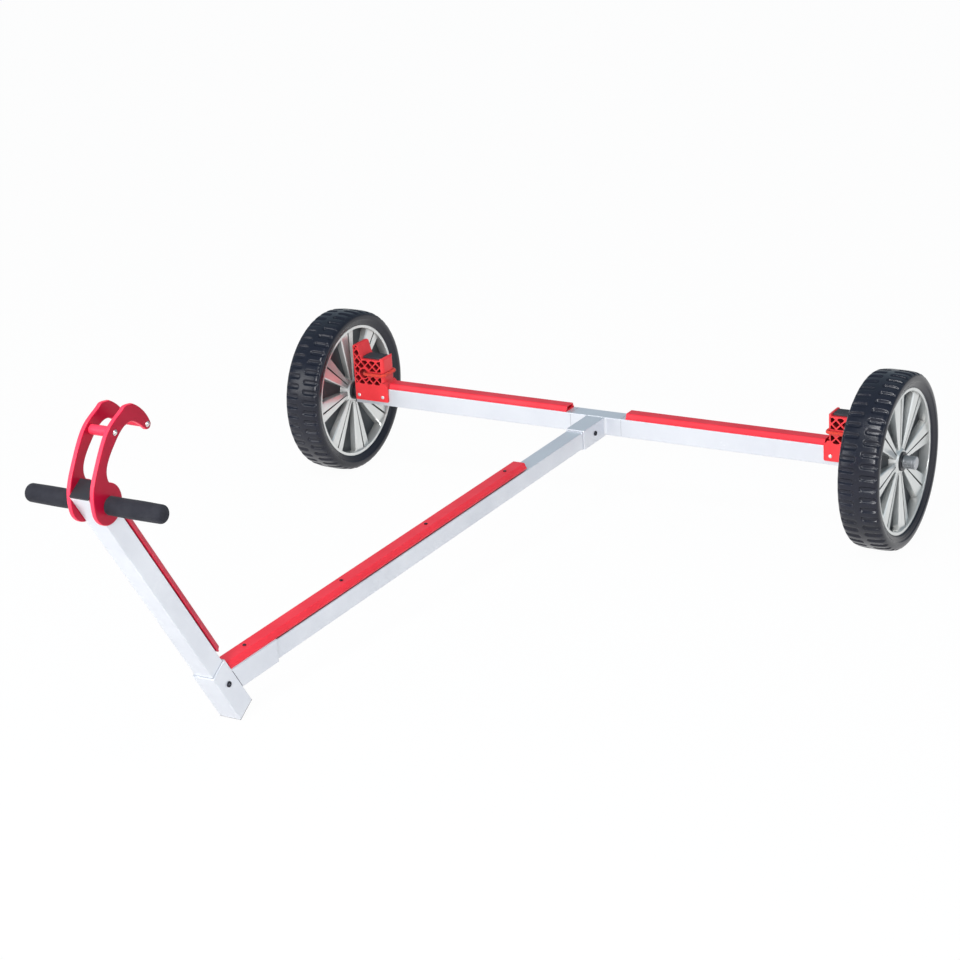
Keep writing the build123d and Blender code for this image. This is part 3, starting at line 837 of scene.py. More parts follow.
@dataclass
class Tyre:
    """Moulded tyre whose crown carries transverse slots on each side of a smooth centre rib.

    Attributes:
        radius: Outside radius.
        seat: Radius where it sits on the wheel.
        rim: Radius of the rim's lip.
        slots: Slots round the tyre on each side.
        slot_width: Width of a slot.
        slot_depth: Depth of a slot.
        slot_start: Inner end of a slot from the middle.
        slot_end: Outer end of a slot from the middle, over the shoulder.
        slot_slope: Run of a slot's sloping wall.
        shoulder: Middle of the shoulder's arc, as x and radius.
        shoulder_size: Half width and half height of that arc.
        crown_half: Half width of the crown.
        columns: Mesh steps round one slot's pitch.
        fade_start: Radius on the sidewall where the slots begin.
        fade_span: Rise over which they reach full depth.
    """

    radius: float = 0.200
    seat: float = 0.1613
    rim: float = 0.1644
    slots: int = 50
    slot_width: float = 0.0112
    slot_depth: float = 0.0042
    slot_start: float = 0.0060
    slot_end: float = 0.0440
    slot_slope: float = 0.0030
    shoulder: Pair = (0.0330, 0.1868)
    shoulder_size: Pair = (0.0131, 0.0113)
    crown_half: float = 0.0345
    columns: int = 14
    fade_start: float = 0.1885
    fade_span: float = 0.0070

    def section(self) -> np.ndarray:
        """Half cross-section from the seat to the crown's middle.

        Returns:
            Rows of (x, radius).
        """
        seat, rim, half = self.seat, self.rim, self.crown_half
        bead = [(0.0325, seat), (0.0338, seat + 0.0003), (0.0350, rim), (0.0385, rim + 0.0001),
                (0.0388, rim + 0.0012), (0.0405, rim + 0.0020), (0.0411, rim + 0.0040)]
        wall = [(0.0424, 0.1712), (0.0438, 0.1746), (0.0448, 0.1780), (0.0455, 0.1785),
                (0.0460, 0.1806), (0.0464, 0.1838), (0.0463, 0.1862)]
        shoulder = [(self.shoulder[0] + self.shoulder_size[0] * math.cos(angle),
                     self.shoulder[1] + self.shoulder_size[1] * math.sin(angle))
                    for angle in np.linspace(math.radians(3), math.radians(80), 11)]
        across = np.concatenate([np.linspace(half, 0.0105, 9), np.linspace(0.0090, 0.0, 8)])
        crown = [(x, self.radius - 0.00004 - 0.0019 * (x / half) ** 2.6) for x in across]
        return np.array(bead + wall + shoulder + crown)

    def cut(self, x: float, around: float) -> float:
        """Depth of the tread slots.

        Args:
            x: Distance from the middle plane.
            around: Distance from the slot's centre line, round the tyre.

        Returns:
            Depth below the crown.
        """
        half = self.slot_width / 2
        beyond = max(self.slot_start + half - x, x - (self.slot_end - half), 0.0)
        inside = half - math.hypot(beyond, around)
        return self.slot_depth * eased(inside / self.slot_slope + 0.35)

    def segment(self) -> bpy.types.Mesh:
        """One pitch of the tyre about the X axis.

        Returns:
            The mesh of the segment.
        """
        half = self.section()
        whole = np.concatenate([half, half[-2::-1] * (-1, 1)])
        pitch = math.tau / self.slots
        rows = []
        for column in range(self.columns + 1):
            share = column / self.columns - 0.5
            for index, (x, r) in enumerate(whole):
                stagger = 0.5 if index >= len(half) else 0.0
                phase = (share + stagger + 0.5) % 1.0 - 0.5
                fade = eased((r - self.fade_start) / self.fade_span)
                depth = fade * self.cut(abs(x), phase * pitch * self.radius)
                lean = min(max((abs(x) - self.shoulder[0]) / self.shoulder_size[0], 0.0), 1.0)
                outward = r - depth * math.sqrt(1.0 - SLOT_LEAN * lean * lean)
                angle = share * pitch
                rows.append((x - math.copysign(depth * lean * SLOT_LEAN, x),
                             outward * math.sin(angle), outward * math.cos(angle)))
        across = len(whole)
        faces = []
        for column in range(self.columns):
            for index in range(across):
                after = (index + 1) % across
                a, b = column * across + index, column * across + after
                faces.append((a, a + across, b + across, b))
        return mesh_from("tyre_segment", np.array(rows), faces)

    def build(self, shop: Workshop, ring: bpy.types.NodeTree) -> None:
        """Make both tyres.

        Args:
            shop: The workshop.
            ring: Tree that repeats the segment.
        """
        for side in SIDES:
            low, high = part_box(f"tyre_{side}")
            rubber = shop.material(TYRE_RUBBER)
            mesh = shop.grown(self.segment(), ring, Count=self.slots, Finish=rubber)
            mesh.transform(Matrix.Translation((low + high) / 2))
            shop.piece(f"moulded_tyre_{side}", mesh, TYRE_RUBBER, f"wheel_{side}", "tyre_rubber",
                       f"tyre_{side}")


@dataclass
class Wheels:
    """Rim faces, core and hub carried over from the CAD, and the dressing round the axle end.

    Attributes:
        tyre: The tyres.
    """

    tyre: Tyre = field(default_factory=Tyre)

    def build(self, shop: Workshop, ring: bpy.types.NodeTree) -> None:
        """Finish the wheels.

        Args:
            shop: The workshop.
            ring: Tree that repeats a segment round the axle.
        """
        self.tyre.build(shop, ring)
        for side in SIDES:
            shop.dress(RIM_PLASTIC, f"rim_{side}")
            shop.dress(CORE_PLASTIC, f"wheel_core_{side}")
            shop.dress(BLACK_PLASTIC, f"hub_bush_{side}")
            shop.dress(AXLE_STEEL, f"stub_axle_{side}")
            shop.dress(BLACK_PLASTIC, f"axle_spacer_{side}", f"beam_plug_{side}")
            shop.dress(RETAINER, f"axle_retainer_{side}")


@dataclass(frozen=True)
class Mark:
    """Where a fastener sits.

    Attributes:
        frame_of: Frame that the point and direction are in.
        at: Point where the head meets its surface.
        facing: Outward direction.
    """

    frame_of: Matrix
    at: Triple
    facing: Triple


# Mesh steps round a head, its first ring inside the socket, and the socket's width in bores.
HEAD_SEGMENTS = 36
SOCKET_RINGS_FROM, SOCKET_ACROSS = 8, 1.08


@dataclass
class Fasteners:
    """One kind of fastener set on its marks.

    Attributes:
        name: Name of the piece.
        head: Shape of the head.
        size: Diameter of the head.
        finish: Finish of the head.
        slot: Name of the slot for its finish, handed to the workshop, which does not use it.
        marks: Where the fasteners sit.
    """

    name: str
    head: Head
    size: float
    finish: Finish
    slot: str
    marks: list[Mark]

    def profile(self) -> Profile:
        """Section of the head, in head radii, from below the surface to the top.

        Returns:
            Rows of (radius, height).
        """
        if self.head is Head.SOCKET:
            return [(0.0, -0.2), (1.0, -0.2), (1.0, 0.30), (0.99, 0.36), (0.94, 0.42), (0.86, 0.46),
                    (0.74, 0.475), (0.60, 0.475), (0.56, 0.46), (0.55, 0.42), (0.55, 0.0),
                    (0.50, -0.05), (0.0, -0.05)]
        if self.head is Head.DOME:
            dome = [(math.cos(a), 0.42 * math.sin(a)) for a in np.linspace(0.12, 1.35, 7)]
            return [(0.0, -0.2), (1.0, -0.2), (1.0, 0.0), *dome,
                    (0.17, 0.415), (0.13, 0.36), (0.0, 0.35)]
        dome = [(0.72 * math.cos(a), 0.20 + 0.42 * math.sin(a)) for a in np.linspace(0.05, 1.5, 8)]
        return [(0.0, -0.2), (1.0, -0.2), (1.0, 0.10), (0.96, 0.15), (0.75, 0.16), *dome, (0.0, 0.62)]

    def part(self) -> bpy.types.Mesh:
        """One fastener standing on Z = 0.

        Returns:
            Its mesh.
        """
        radius = self.size / 2
        rows = [(r * radius, h * radius) for r, h in self.profile()]

        def hexagon(number: int, angle: float, reach: float) -> float:
            """Radius of a ring, drawn to a hexagon inside a socket."""
            if self.head is Head.SOCKET and number >= SOCKET_RINGS_FROM:
                within = angle % (math.pi / 3) - math.pi / 6
                return reach * math.cos(math.pi / 6) / math.cos(within) * SOCKET_ACROSS
            return reach

        verts, faces = revolve(rows, HEAD_SEGMENTS, hexagon)
        return mesh_from(self.name + "_part", verts, faces)

    def build(self, shop: Workshop, group: bpy.types.NodeTree) -> None:
        """Set the fasteners.

        Args:
            shop: The workshop.
            group: Tree that sets a part on marks.
        """
        part = placed(self.name + "_source", self.part())
        points, turns = [], []
        for mark in self.marks:
            points.append(mark.frame_of @ Vector(mark.at))
            out = mark.frame_of.to_3x3() @ Vector(mark.facing)
            turns.append(tuple(out.to_track_quat("Z", "Y").to_euler()))
        marks = bpy.data.meshes.new(self.name + "_marks")
        marks.from_pydata([tuple(p) for p in points], [], [])
        turn = marks.attributes.new("turn", "FLOAT_VECTOR", "POINT")
        turn.data.foreach_set("vector", np.array(turns, np.float32).reshape(-1))
        mesh = shop.grown(marks, group, Part=part, Finish=shop.material(self.finish))
        bpy.data.objects.remove(part)
        shop.piece(self.name, mesh, self.finish, "chassis", self.slot)


# Corners of a box's faces, from outside anticlockwise.
BOX_FACES = ((0, 1, 3, 2), (4, 6, 7, 5), (0, 4, 5, 1), (2, 3, 7, 6), (0, 2, 6, 4), (1, 5, 7, 3))


@dataclass
class Chassis:
    """Tubes, fittings and strips carried over from the CAD, with their bolts, screws and rivets.

    Attributes:
        layout: The dolly's frames.
        bolt: Head diameter of the clamping bolts.
        screw: Head diameter of the strip screws.
        rivet: Head diameter of the block rivets.
        fitting_half: Half width of the elbow's sleeve and the tee's socket.
        beam_half: Half width of the tee's arms.
        flat_half: Half width of an arm's flat face, between its rounded corners.
        proud: How far a gap line or the strip of painted highlight stands out of its face.
        sleeve_line: Lower and upper end of the sleeve's gap line, up the post from the crossing.
        sleeve_gap: Width of that line.
        arm_line: Edges of the gap line round each arm, from the middle.
        weld: Reach of the strip of painted highlight before, behind and below the tee's front upper
            edge.
        socket_bolt: Bolt through the socket, along the keel from the axle.
        strip_screws: Screws of the keel strip, along the keel from the axle.
        strip_top: Height of their heads above the axle.
        block_rivets: Rivets of each block, along the beam from the middle.
        block_face: Front and rear faces of the blocks' feet from the axle.
    """

    layout: Layout
    bolt: float = 0.0115
    screw: float = 0.0075
    rivet: float = 0.0090
    fitting_half: float = 0.0235
    beam_half: float = 0.0220
    flat_half: float = 0.0195
    proud: float = 0.00012
    sleeve_line: Pair = (-0.0386, 0.0096)
    sleeve_gap: float = 0.0013
    arm_line: Pair = (0.0660, 0.0664)
    weld: Triple = (0.0006, 0.0016, 0.0012)
    socket_bolt: float = 0.0697
    strip_screws: tuple[float, ...] = (0.454, 0.789, 1.111, 1.440)
    strip_top: float = 0.0345
    block_rivets: tuple[float, ...] = (0.588, 0.6565)
    block_face: float = 0.026

    def build(self, shop: Workshop, group: bpy.types.NodeTree) -> None:
        """Finish the chassis.

        Args:
            shop: The workshop.
            group: Tree that sets a part on marks.
        """
        across = Vector((1.0, 0.0, 0.0))
        keel = self.layout.direction(self.layout.level, (0.0, 1.0, 0.0))
        rise = self.layout.direction(self.layout.post, (0.0, 0.0, 1.0))
        shop.dress(drawn("aluminium_beam", across), "axle_beam_left", "axle_beam_right")
        # The keel and post finishes carry painted shade beside their neighbours.
        shop.dress(drawn("aluminium_keel", keel, KEEL_PAINTED_SHADE), "keel_tube")
        shop.dress(drawn("aluminium_post", rise, POST_PAINTED_SHADE), "post_tube")
        shop.dress(drawn("aluminium_elbow", rise), "elbow_fitting")
        shop.dress(drawn("aluminium_tee", across), "tee_fitting")
        shop.dress(AXLE_STEEL, "handle_bar")
        shop.dress(BLACK_PLASTIC, "foot_plug", "post_cap")
        shop.dress(RED_BUMPER, "keel_strip", "axle_strip_left", "axle_strip_right")
        # The post strip takes the darker red of painted shade.
        shop.dress(RED_POST_PAINTED_SHADE, "post_strip")
        self.joint_lines(shop)
        for fasteners in self.fasteners():
            fasteners.build(shop, group)

    def joint_lines(self, shop: Workshop) -> None:
        """Gaps where the elbow's sleeve and the tee's arms end on flush faces, and a strip of painted
        highlight along the tee's front upper edge.

        Args:
            shop: The workshop.
        """
        level, post = self.layout.level, self.layout.post
        sleeve, beam, flat = self.fitting_half, self.beam_half, (-self.flat_half, self.flat_half)
        gaps = []
        for side in SIDES.values():
            face = (side * sleeve, side * (sleeve + self.proud))
            gaps.append((post, face, (sleeve - self.sleeve_gap, sleeve), self.sleeve_line))
            line = tuple(side * edge for edge in self.arm_line)
            for way in (-1.0, 1.0):
                skin = (way * beam, way * (beam + self.proud))
                gaps += [(level, line, skin, flat), (level, line, flat, skin)]
        # The bead here is a pale strip of painted highlight on the tee's front upper edge.
        before, behind, below = self.weld
        bead = [(level, flat, (-beam - before, -beam + behind), (beam - below, beam + self.proud))]
        for name, spans, finish in (("joint_gaps", gaps, JOINT_GAP), ("tee_weld", bead, PAINTED_EDGE_HIGHLIGHT)):
            shop.piece(name, self.boxes(name, spans), finish, "chassis", "aluminium_fitting")

    @staticmethod
    def boxes(name: str, spans: Iterable[tuple]) -> bpy.types.Mesh:
        """Make flat-shaded boxes.

        Args:
            name: Name of the mesh.
            spans: For each box its frame, then its two ends along that frame's X, Y and Z.

        Returns:
            The mesh.
        """
        verts, faces = [], []
        for frame_of, *ends in spans:
            base = len(verts)
            for corner in itertools.product(*(sorted(pair) for pair in ends)):
                verts.append(frame_of @ Vector(corner))
            faces += [tuple(base + number for number in quad) for quad in BOX_FACES]
        mesh = mesh_from(name, np.array(verts), faces)
        mesh.shade_flat()
        return mesh

    def fasteners(self) -> list[Fasteners]:
        """All fasteners on the chassis.

        Returns:
            One entry per kind.
        """
        level, drop = self.layout.level, self.layout.keel_drop
        bolts = [Mark(level, (side * self.fitting_half, -along, -drop), (side, 0.0, 0.0))
                 for along in (self.socket_bolt, self.layout.keel_length) for side in (-1.0, 1.0)]
        screws = [Mark(level, (0.0, -along, self.strip_top), (0.0, 0.0, 1.0))
                  for along in self.strip_screws]
        rivets = [Mark(level, (side * along, face * self.block_face, 0.0), (0.0, face, 0.0))
                  for side in (-1.0, 1.0) for along in self.block_rivets for face in (-1.0, 1.0)]
        return [
            Fasteners("clamp_bolts", Head.SOCKET, self.bolt, BLACK_STEEL, "axle_steel", bolts),
            Fasteners("strip_screws", Head.SOCKET, self.screw, BLACK_STEEL, "axle_steel", screws),
            Fasteners("block_rivets", Head.DOME, self.rivet, RIVET_WHITE, "axle_steel", rivets),
        ]


# Unevenness of cut foam: height in metres, waves round the grip, and twist in radians a metre.
FOAM_WAVES = ((0.00012, 3, 60), (0.0001, 5, -95))


@dataclass
class Bow:
    """Bow horn with its bolts, and the foam grips on the handle.

    Attributes:
        layout: The dolly's frames.
        plate_face: Outer face of a horn plate from the middle.
        spacer: Spacer's place: to the rear of the handle, then up the post.
        tip_pin: Tip pin's place.
        bolt: Head diameter of the horn's bolts.
        grip_segments: Mesh steps round a grip.
        grip_wall: Thickness of the foam over the bar.
        grip_lip: Length of the softened inner edge.
        grip_dome: Length of the rounded outer end.
        grip_cap: Thickness of the closed outer end.
        grip_swell: How much fuller the middle of a grip is than its ends.
    """

    layout: Layout
    plate_face: float = 0.029
    spacer: Pair = (0.091, 0.081)
    tip_pin: Pair = (0.157, 0.025)
    bolt: float = 0.0105
    grip_segments: int = 72
    grip_wall: float = 0.0041
    grip_lip: float = 0.0020
    grip_dome: float = 0.0085
    grip_cap: float = 0.0050
    grip_swell: float = 0.0005

    def build(self, shop: Workshop, group: bpy.types.NodeTree) -> None:
        """Finish the bow end.

        Args:
            shop: The workshop.
            group: Tree that sets a part on marks.
        """
        shop.dress(RED_HORN, "horn_plate_left", "horn_plate_right", "horn_spacer", "horn_tip_pin")
        marks = [Mark(self.layout.horn, (side * self.plate_face, *at), (side, 0.0, 0.0))
                 for at in (self.spacer, self.tip_pin) for side in (-1.0, 1.0)]
        Fasteners("horn_bolts", Head.ACORN, self.bolt, POLISHED, "axle_steel", marks).build(shop, group)
        for side, sign in SIDES.items():
            self.grip(shop, side, sign)

    def grip(self, shop: Workshop, side: str, sign: float) -> None:
        """Make one foam grip: a skinned tube, a little full in the middle, with a rounded end.

        Args:
            shop: The workshop.
            side: Side of the dolly.
            sign: -1 for left and 1 for right.
        """
        low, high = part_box(f"grip_{side}")
        radius = (high.y - low.y) / 2
        inner, outer = (low.x, high.x) if sign > 0 else (high.x, low.x)
        length = abs(outer - inner)
        bore, lip, dome, swell = radius - self.grip_wall, self.grip_lip, self.grip_dome, self.grip_swell
        rows = [(bore, 0.0), (radius - 0.0022, 0.0), (radius - 0.0007, 0.0006), (radius - 0.0003, lip)]
        for share in np.linspace(0.04, 1.0, 40):
            fullness = swell * (1.0 - math.sin(math.pi * share))
            rows.append((radius - fullness, lip + share * (length - dome - lip)))
        reach = dome * 0.92
        for angle in np.linspace(0.15, math.pi / 2, 9):
            rows.append((radius - reach + (reach - swell) * math.cos(angle),
                         length - dome + dome * math.sin(angle) - 0.0004))
        rows += [(radius * 0.34, length - 0.0004), (radius * 0.16, length - 0.0005)]
        end = length - self.grip_cap
        verts, faces = self.sleeve([(0.0, end), (bore, end), *rows, (0.0, length - 0.0005)])
        middle = (low + high) / 2
        turn = Matrix.Rotation(math.pi / 2 * sign, 4, "Y")
        mesh = mesh_from(f"grip_{side}", verts, faces)
        mesh.transform(Matrix.Translation((inner, middle.y, middle.z)) @ turn)
        item = shop.piece(f"foam_grip_{side}", mesh, FOAM, "chassis", "foam_grip", f"grip_{side}")

    def sleeve(self, profile: Profile) -> Skin:
        """Turn the grip's section, and add the slight unevenness of cut foam.

        Args:
            profile: Section from the closed end of the bore round to the outer end.

        Returns:
            Vertices and faces.
        """
        verts, faces = revolve(profile, self.grip_segments)
        x, y, along = verts.T
        angle, reach = np.arctan2(y, x), np.hypot(x, y)
        wave = sum(height * np.sin(lobes * angle + twist * along)
                   for height, lobes, twist in FOAM_WAVES)
        outside = np.clip((reach - 0.0135) / 0.002, 0.0, 1.0)
        highest = sum(height for height, _, _ in FOAM_WAVES)
        verts[:, :2] *= (1.0 + (wave - highest) * outside / np.maximum(reach, 0.001))[:, None]
        return verts, faces


# Heights of a pad's mesh rings, from its foot at -1 to its top at 1.
PAD_LEVELS = (-1.0, -0.6, 0.1, 0.75, 1.0)


@dataclass
class HullSupports:
    """Support blocks from the CAD, their rubber pads and the shock cords round them.

    Attributes:
        layout: The dolly's frames.
        cord_radius: Radius of the cord.
        cord_inner: Cord's inboard run from the middle plane.
        cord_span: Distance between its runs along the beam.
        cord_depth: Distance between its front and back runs.
        cord_height: Height of the cord above the axle.
        bend: Half of the run that a corner takes up.
        cord_sides: Mesh steps round the cord.
        pad_steps: Mesh steps along and across a pad.
        pad_round: Inset of the pad's rounded upper edge.
        pad_grooves: Grooves across the beam's line, as their place, depth and width.
    """

    layout: Layout
    cord_radius: float = 0.004
    cord_inner: float = 0.580
    cord_span: float = 0.0585
    cord_depth: float = 0.0604
    cord_height: float = 0.057
    bend: float = 0.024
    cord_sides: int = 20
    pad_steps: int = 40
    pad_round: float = 0.0016
    pad_grooves: Triple = (0.008, 0.0007, 0.0011)

    def build(self, shop: Workshop) -> None:
        """Finish both supports.

        Args:
            shop: The workshop.
        """
        for side, sign in SIDES.items():
            shop.dress(RED_BLOCK, f"support_block_{side}")
            self.pad(shop, side)
            self.cord(shop, side, sign)

    def pad(self, shop: Workshop, side: str) -> None:
        """Make one rubber pad: a crowned block with rounded edges and two shallow grooves.

        Args:
            shop: The workshop.
            side: Side of the dolly.
        """
        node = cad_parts[f"support_pad_{side}"]
        inverse = self.layout.level.inverted()
        points = np.array([inverse @ v.co for v in node.data.vertices])
        low, high = points.min(0), points.max(0)
        size, centre, steps = high - low, (low + high) / 2, self.pad_steps
        ticks = np.linspace(-1.0, 1.0, steps + 1)
        warped = np.sign(ticks) * (1.0 - (1.0 - np.abs(ticks)) ** 1.7)
        top = len(PAD_LEVELS) - 1
        verts, faces = [], []
        grid: dict[tuple[int, int, int], int] = {}

        def quad(*corners: tuple[int, int, int]) -> None:
            """Add one face by its corners' places in the grid."""
            for i, j, k in corners:
                if (i, j, k) not in grid:
                    grid[i, j, k] = len(verts)
                    verts.append(self.pad_point(warped[i], warped[j], PAD_LEVELS[k], size))
            faces.append(tuple(grid[corner] for corner in corners))

        for a in range(steps):
            for b in range(steps):
                quad((a, b, top), (a + 1, b, top), (a + 1, b + 1, top), (a, b + 1, top))
                quad((a, b, 0), (a, b + 1, 0), (a + 1, b + 1, 0), (a + 1, b, 0))
            for k in range(top):
                quad((a, 0, k), (a + 1, 0, k), (a + 1, 0, k + 1), (a, 0, k + 1))
                quad((a + 1, steps, k), (a, steps, k), (a, steps, k + 1), (a + 1, steps, k + 1))
                quad((0, a + 1, k), (0, a, k), (0, a, k + 1), (0, a + 1, k + 1))
                quad((steps, a, k), (steps, a + 1, k), (steps, a + 1, k + 1), (steps, a, k + 1))
        mesh = mesh_from(f"pad_{side}", np.array(verts) + centre, faces)
        mesh.transform(self.layout.level)
        item = shop.piece(f"rubber_pad_{side}", mesh, PAD_RUBBER, "chassis", "pad_rubber",
                          f"support_pad_{side}")

    def pad_point(self, u: float, v: float, w: float, size: np.ndarray) -> Triple:
        """Point on the pad's skin.

        Args:
            u: -1 to 1 along the beam.
            v: -1 to 1 across it.
            w: -1 to 1 upward.
            size: Size of the pad.

        Returns:
            The point about the pad's centre.
        """
        rim = max(abs(u), abs(v))
        edge = self.pad_round * max(0.0, w - 0.6) / 0.4
        x, y = u * (size[0] / 2 - edge), v * (size[1] / 2 - edge)
        sunk = 0.0
        if w > 0.9:
            sunk = 0.0004 + 0.0009 * max(0.0, (rim - 0.86) / 0.14) ** 2
        if w > 0.9 and rim < 0.93:
            place, depth, width = self.pad_grooves
            sunk += sum(depth * math.exp(-((y - at) / width) ** 2) for at in (-place, place))
        return x, y, w * size[2] / 2 - sunk

    def route(self, sign: float) -> list[Vector]:
        """Control points of the closed loop, three at each corner.

        Args:
            sign: -1 for left and 1 for right.

        Returns:
            Points in the row frame.
        """
        near, far = self.cord_inner, self.cord_inner + self.cord_span
        half = self.cord_depth / 2
        corners = [Vector((sign * x, y, self.cord_height))
                   for x, y in ((near, -half), (far, -half), (far, half), (near, half))]
        points = []
        for index, corner in enumerate(corners):
            before, after = corners[index - 1], corners[(index + 1) % 4]
            points += [corner + (before - corner).normalized() * self.bend, corner,
                       corner + (after - corner).normalized() * self.bend]
        return [self.layout.level @ p for p in points]

    def cord(self, shop: Workshop, side: str, sign: float) -> None:
        """Make one braided shock cord along its NURBS route.

        Args:
            shop: The workshop.
            side: Side of the dolly.
            sign: -1 for left and 1 for right.
        """
        curve = bpy.data.curves.new(f"cord_route_{side}", "CURVE")
        curve.dimensions = "3D"
        curve.resolution_u = 8
        spline = curve.splines.new("NURBS")
        points = self.route(sign)
        spline.points.add(len(points) - 1)
        for place, point in zip(spline.points, points):
            place.co = (*point, 1.0)
        spline.order_u = 3
        spline.use_cyclic_u = True
        holder = placed(f"cord_route_{side}", curve)
        line = bpy.data.meshes.new_from_object(holder)
        path = np.array([tuple(v.co) for v in line.vertices])
        bpy.data.objects.remove(holder)
        bpy.data.meshes.remove(line)
        mesh = self.tube(f"cord_{side}", path)
        shop.piece(f"shock_cord_{side}", mesh, CORD_SHEATH, "chassis", "red_cord", f"bungee_{side}")

    def tube(self, name: str, path: np.ndarray) -> bpy.types.Mesh:
        """Sweep a round section along a closed path, with UVs that run with the cord.

        Args:
            name: Name of the mesh.
            path: Points of the closed path.

        Returns:
            The mesh.
        """
        sides, count, radius = self.cord_sides, len(path), self.cord_radius
        up = np.array(self.layout.direction(self.layout.level, (0.0, 0.0, 1.0)))
        verts, faces, uvs = [], [], []
        steps = np.linalg.norm(np.roll(path, -1, 0) - path, axis=1)
        along = np.concatenate([[0.0], np.cumsum(steps)])
        turns = round(along[-1] / (radius * math.tau)) / along[-1]
        for index in range(count):
            tangent = path[(index + 1) % count] - path[index - 1]
            tangent /= np.linalg.norm(tangent)
            out = np.cross(tangent, up)
            out /= np.linalg.norm(out)
            for step in range(sides):
                angle = math.tau * step / sides
                verts.append(path[index] + radius * (math.cos(angle) * out + math.sin(angle) * up))
        for index in range(count):
            after = (index + 1) % count
            for step in range(sides):
                beside = (step + 1) % sides
                faces.append((index * sides + step, index * sides + beside,
                              after * sides + beside, after * sides + step))
                u, v = step / sides, (step + 1) / sides
                a, b = along[index] * turns, along[index + 1] * turns
                uvs.append([(u, a), (v, a), (v, b), (u, b)])
        return mesh_from(name, np.array(verts), faces, uvs)


@dataclass(frozen=True)
class Lamp:
    """One soft square lamp that faces the middle of the dolly.

    Attributes:
        name: Name of the lamp.
        offset: Where it hangs, from that middle.
        size: Side of its square face.
        power: Power in watts.
    """

    name: str
    offset: Triple
    size: float
    power: float

    def hang(self, middle: Vector) -> None:
        """Put the lamp in the scene.

        Args:
            middle: Middle of the dolly.
        """
        data = bpy.data.lights.new(self.name, "AREA")
        data.shape, data.size, data.energy = "SQUARE", self.size, self.power
        lamp, at = placed(self.name, data), middle + Vector(self.offset)
        lamp.location = at
        lamp.rotation_euler = (middle - at).to_track_quat("-Z", "Y").to_euler()


LAMPS = (
    Lamp("key_softbox", (1.5, -4.6, 1.6), 1.6, 188.0),
    Lamp("front_fill", (-3.2, -3.6, 1.2), 2.4, 60.0),
    Lamp("side_fill", (4.6, 0.2, 1.1), 2.6, 24.0),
    Lamp("overhead", (0.3, -2.2, 3.6), 1.3, 70.0),
)
# Width of the camera's sensor in millimetres, and the two tones of the floor's paper.
SENSOR = 36.0
PAPER = ((0.80, 0.80, 0.81), (0.84, 0.84, 0.845))
WHITE = rgba((1.0, 1.0, 1.0))
# Colours of the sky's light, and the height of each as the sine of its angle.
HORIZON, ZENITH = ((0.92, 0.92, 0.93), 0.02), ((0.66, 0.83, 0.95), 0.30)


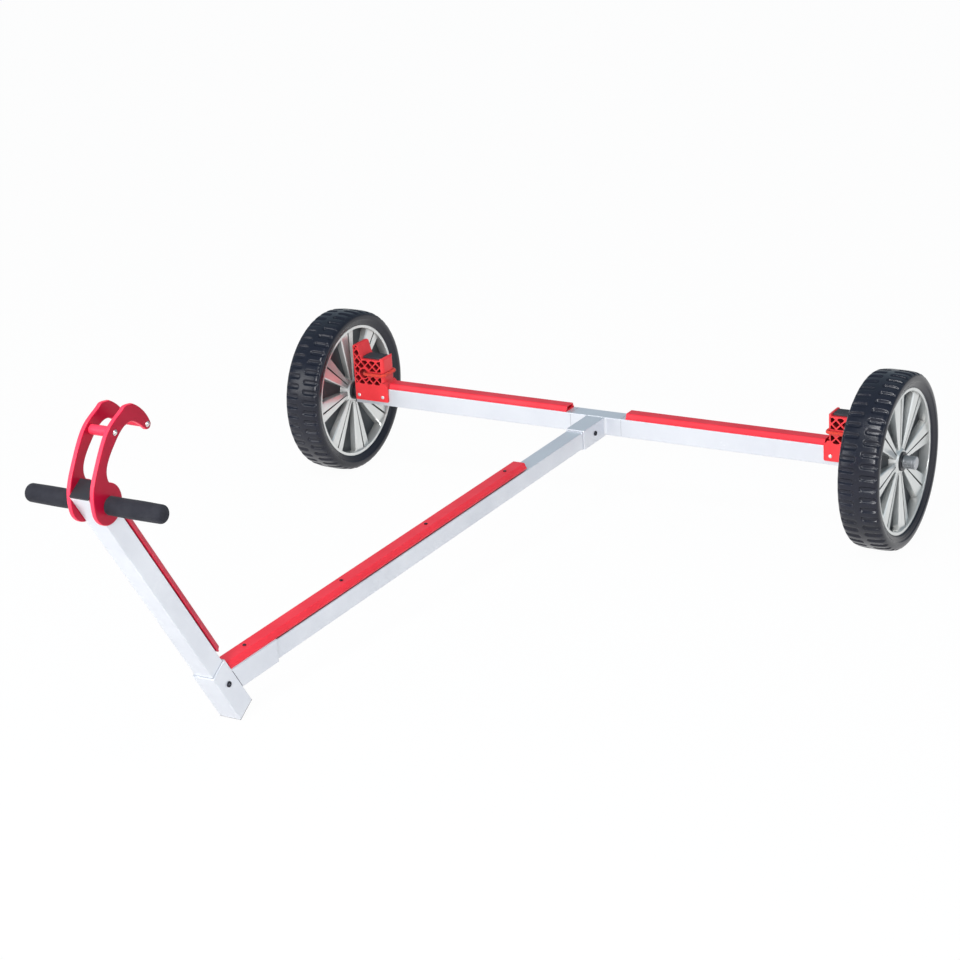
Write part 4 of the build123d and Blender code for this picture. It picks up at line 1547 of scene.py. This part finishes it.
@dataclass
class Studio:
    """Camera, soft lights, pale floor and white surroundings.

    Attributes:
        focus: Focal length in millimetres on a 36 mm sensor.
        azimuth: Camera's direction round the dolly in degrees.
        elevation: Camera's height angle in degrees.
        roll: Camera's roll in degrees.
        stand: Camera from the ground point below the axle.
        floor_reach: Half width of the floor.
        floor_steps: Faces along it.
        floor_white: Share of plain white that the camera sees in the floor.
        sky_strength: Strength of the light from the surroundings.
    """

    focus: float = 87.48
    azimuth: float = 30.36
    elevation: float = 16.69
    roll: float = -1.14
    stand: Triple = (2.4304, -4.7125, 1.6509)
    floor_reach: float = 60.0
    floor_steps: int = 6
    floor_white: float = 0.97
    sky_strength: float = 0.50

    def build(self, layout: Layout) -> None:
        """Make the studio.

        Args:
            layout: The dolly's frames.
        """
        bpy.context.scene.view_settings.view_transform = "Standard"
        self.camera(Vector((0.0, layout.level.translation.y, 0.0)))
        low, high = CAD_BOX
        for lamp in LAMPS:
            lamp.hang((low + high) / 2)
        self.floor(low.z)
        self.world()

    def camera(self, ground: Vector) -> None:
        """Make the camera.

        Args:
            ground: Point on the floor below the axle's middle.
        """
        turn, tilt, roll = (math.radians(v) for v in (self.azimuth, self.elevation, self.roll))
        away = math.cos(tilt)
        back = Vector((math.sin(turn) * away, -math.cos(turn) * away, math.sin(tilt)))
        flat = Vector((math.cos(turn), math.sin(turn), 0.0))
        rise = back.cross(flat)
        right = flat * math.cos(roll) + rise * math.sin(roll)
        up = rise * math.cos(roll) - flat * math.sin(roll)
        data = bpy.data.cameras.new("camera")
        data.lens, data.sensor_width = self.focus, SENSOR
        data.clip_start, data.clip_end = 0.05, 200.0
        camera = placed("camera", data)
        axes = Matrix((right, up, back)).transposed().to_4x4()
        camera.matrix_world = Matrix.Translation(ground + Vector(self.stand)) @ axes
        bpy.context.scene.camera = camera

    def floor(self, height: float) -> None:
        """Lay the floor: pale, shaded a little by the dolly, and white to the camera.

        Args:
            height: Height of the floor.
        """
        material = bpy.data.materials.new("studio_floor")
        graph = Graph(material)
        paper = graph.noise(graph.add("TexCoord").outputs["Object"], 2.0)
        pale = graph.mix(paper, *(rgba(colour) for colour in PAPER))
        matte = graph.add("BsdfDiffuse", Color=pale).outputs[0]
        white = graph.add("Emission", Color=WHITE, Strength=1.0).outputs[0]
        share = graph.math("MULTIPLY", graph.seen("Camera", "Glossy", "Transmission"), self.floor_white)
        mixed = graph.add("MixShader", i0=share, i1=matte, i2=white).outputs[0]
        graph.add("OutputMaterial", Surface=mixed)
        mesh = bpy.data.meshes.new("studio_floor")
        row = self.floor_steps + 1
        ticks = np.linspace(-self.floor_reach, self.floor_reach, row)
        starts = [line * row + place for line, place in itertools.product(range(row - 1), repeat=2)]
        faces = [(start, start + 1, start + row + 1, start + row) for start in starts]
        mesh.from_pydata([(x, y, height - 0.0002) for y in ticks for x in ticks], [], faces)
        mesh.materials.append(material)
        placed("studio_floor", mesh)

    def world(self) -> None:
        """White surroundings for the camera, and a soft sky that is cooler overhead for the light."""
        world = bpy.data.worlds.new("studio_world")
        bpy.context.scene.world = world
        graph = Graph(world)
        parts = graph.add("SeparateXYZ", i0=graph.add("TexCoord").outputs["Generated"])
        ramp = graph.add("ValToRGB", i0=parts.outputs[2])
        for element, (colour, position) in zip(ramp.color_ramp.elements, (HORIZON, ZENITH)):
            element.color, element.position = rgba(colour), position
        sky = graph.add("Background", i0=ramp.outputs[0], i1=self.sky_strength).outputs[0]
        white = graph.add("Background", i0=WHITE).outputs[0]
        mixed = graph.add("MixShader", i0=graph.seen("Camera", "Transmission"), i1=sky, i2=white)
        graph.add("OutputWorld", i0=mixed.outputs[0])


def main() -> None:
    """Build the studio and every sub-assembly, in order."""
    logging.basicConfig(level=logging.INFO, format="%(name)s: %(message)s")
    layout, shop = Layout(), Workshop()
    Studio().build(layout)
    ring, marks = ring_group(), marks_group()
    Wheels().build(shop, ring)
    Chassis(layout).build(shop, marks)
    Bow(layout).build(shop, marks)
    HullSupports(layout).build(shop)


if __name__ == "__main__":
    main()
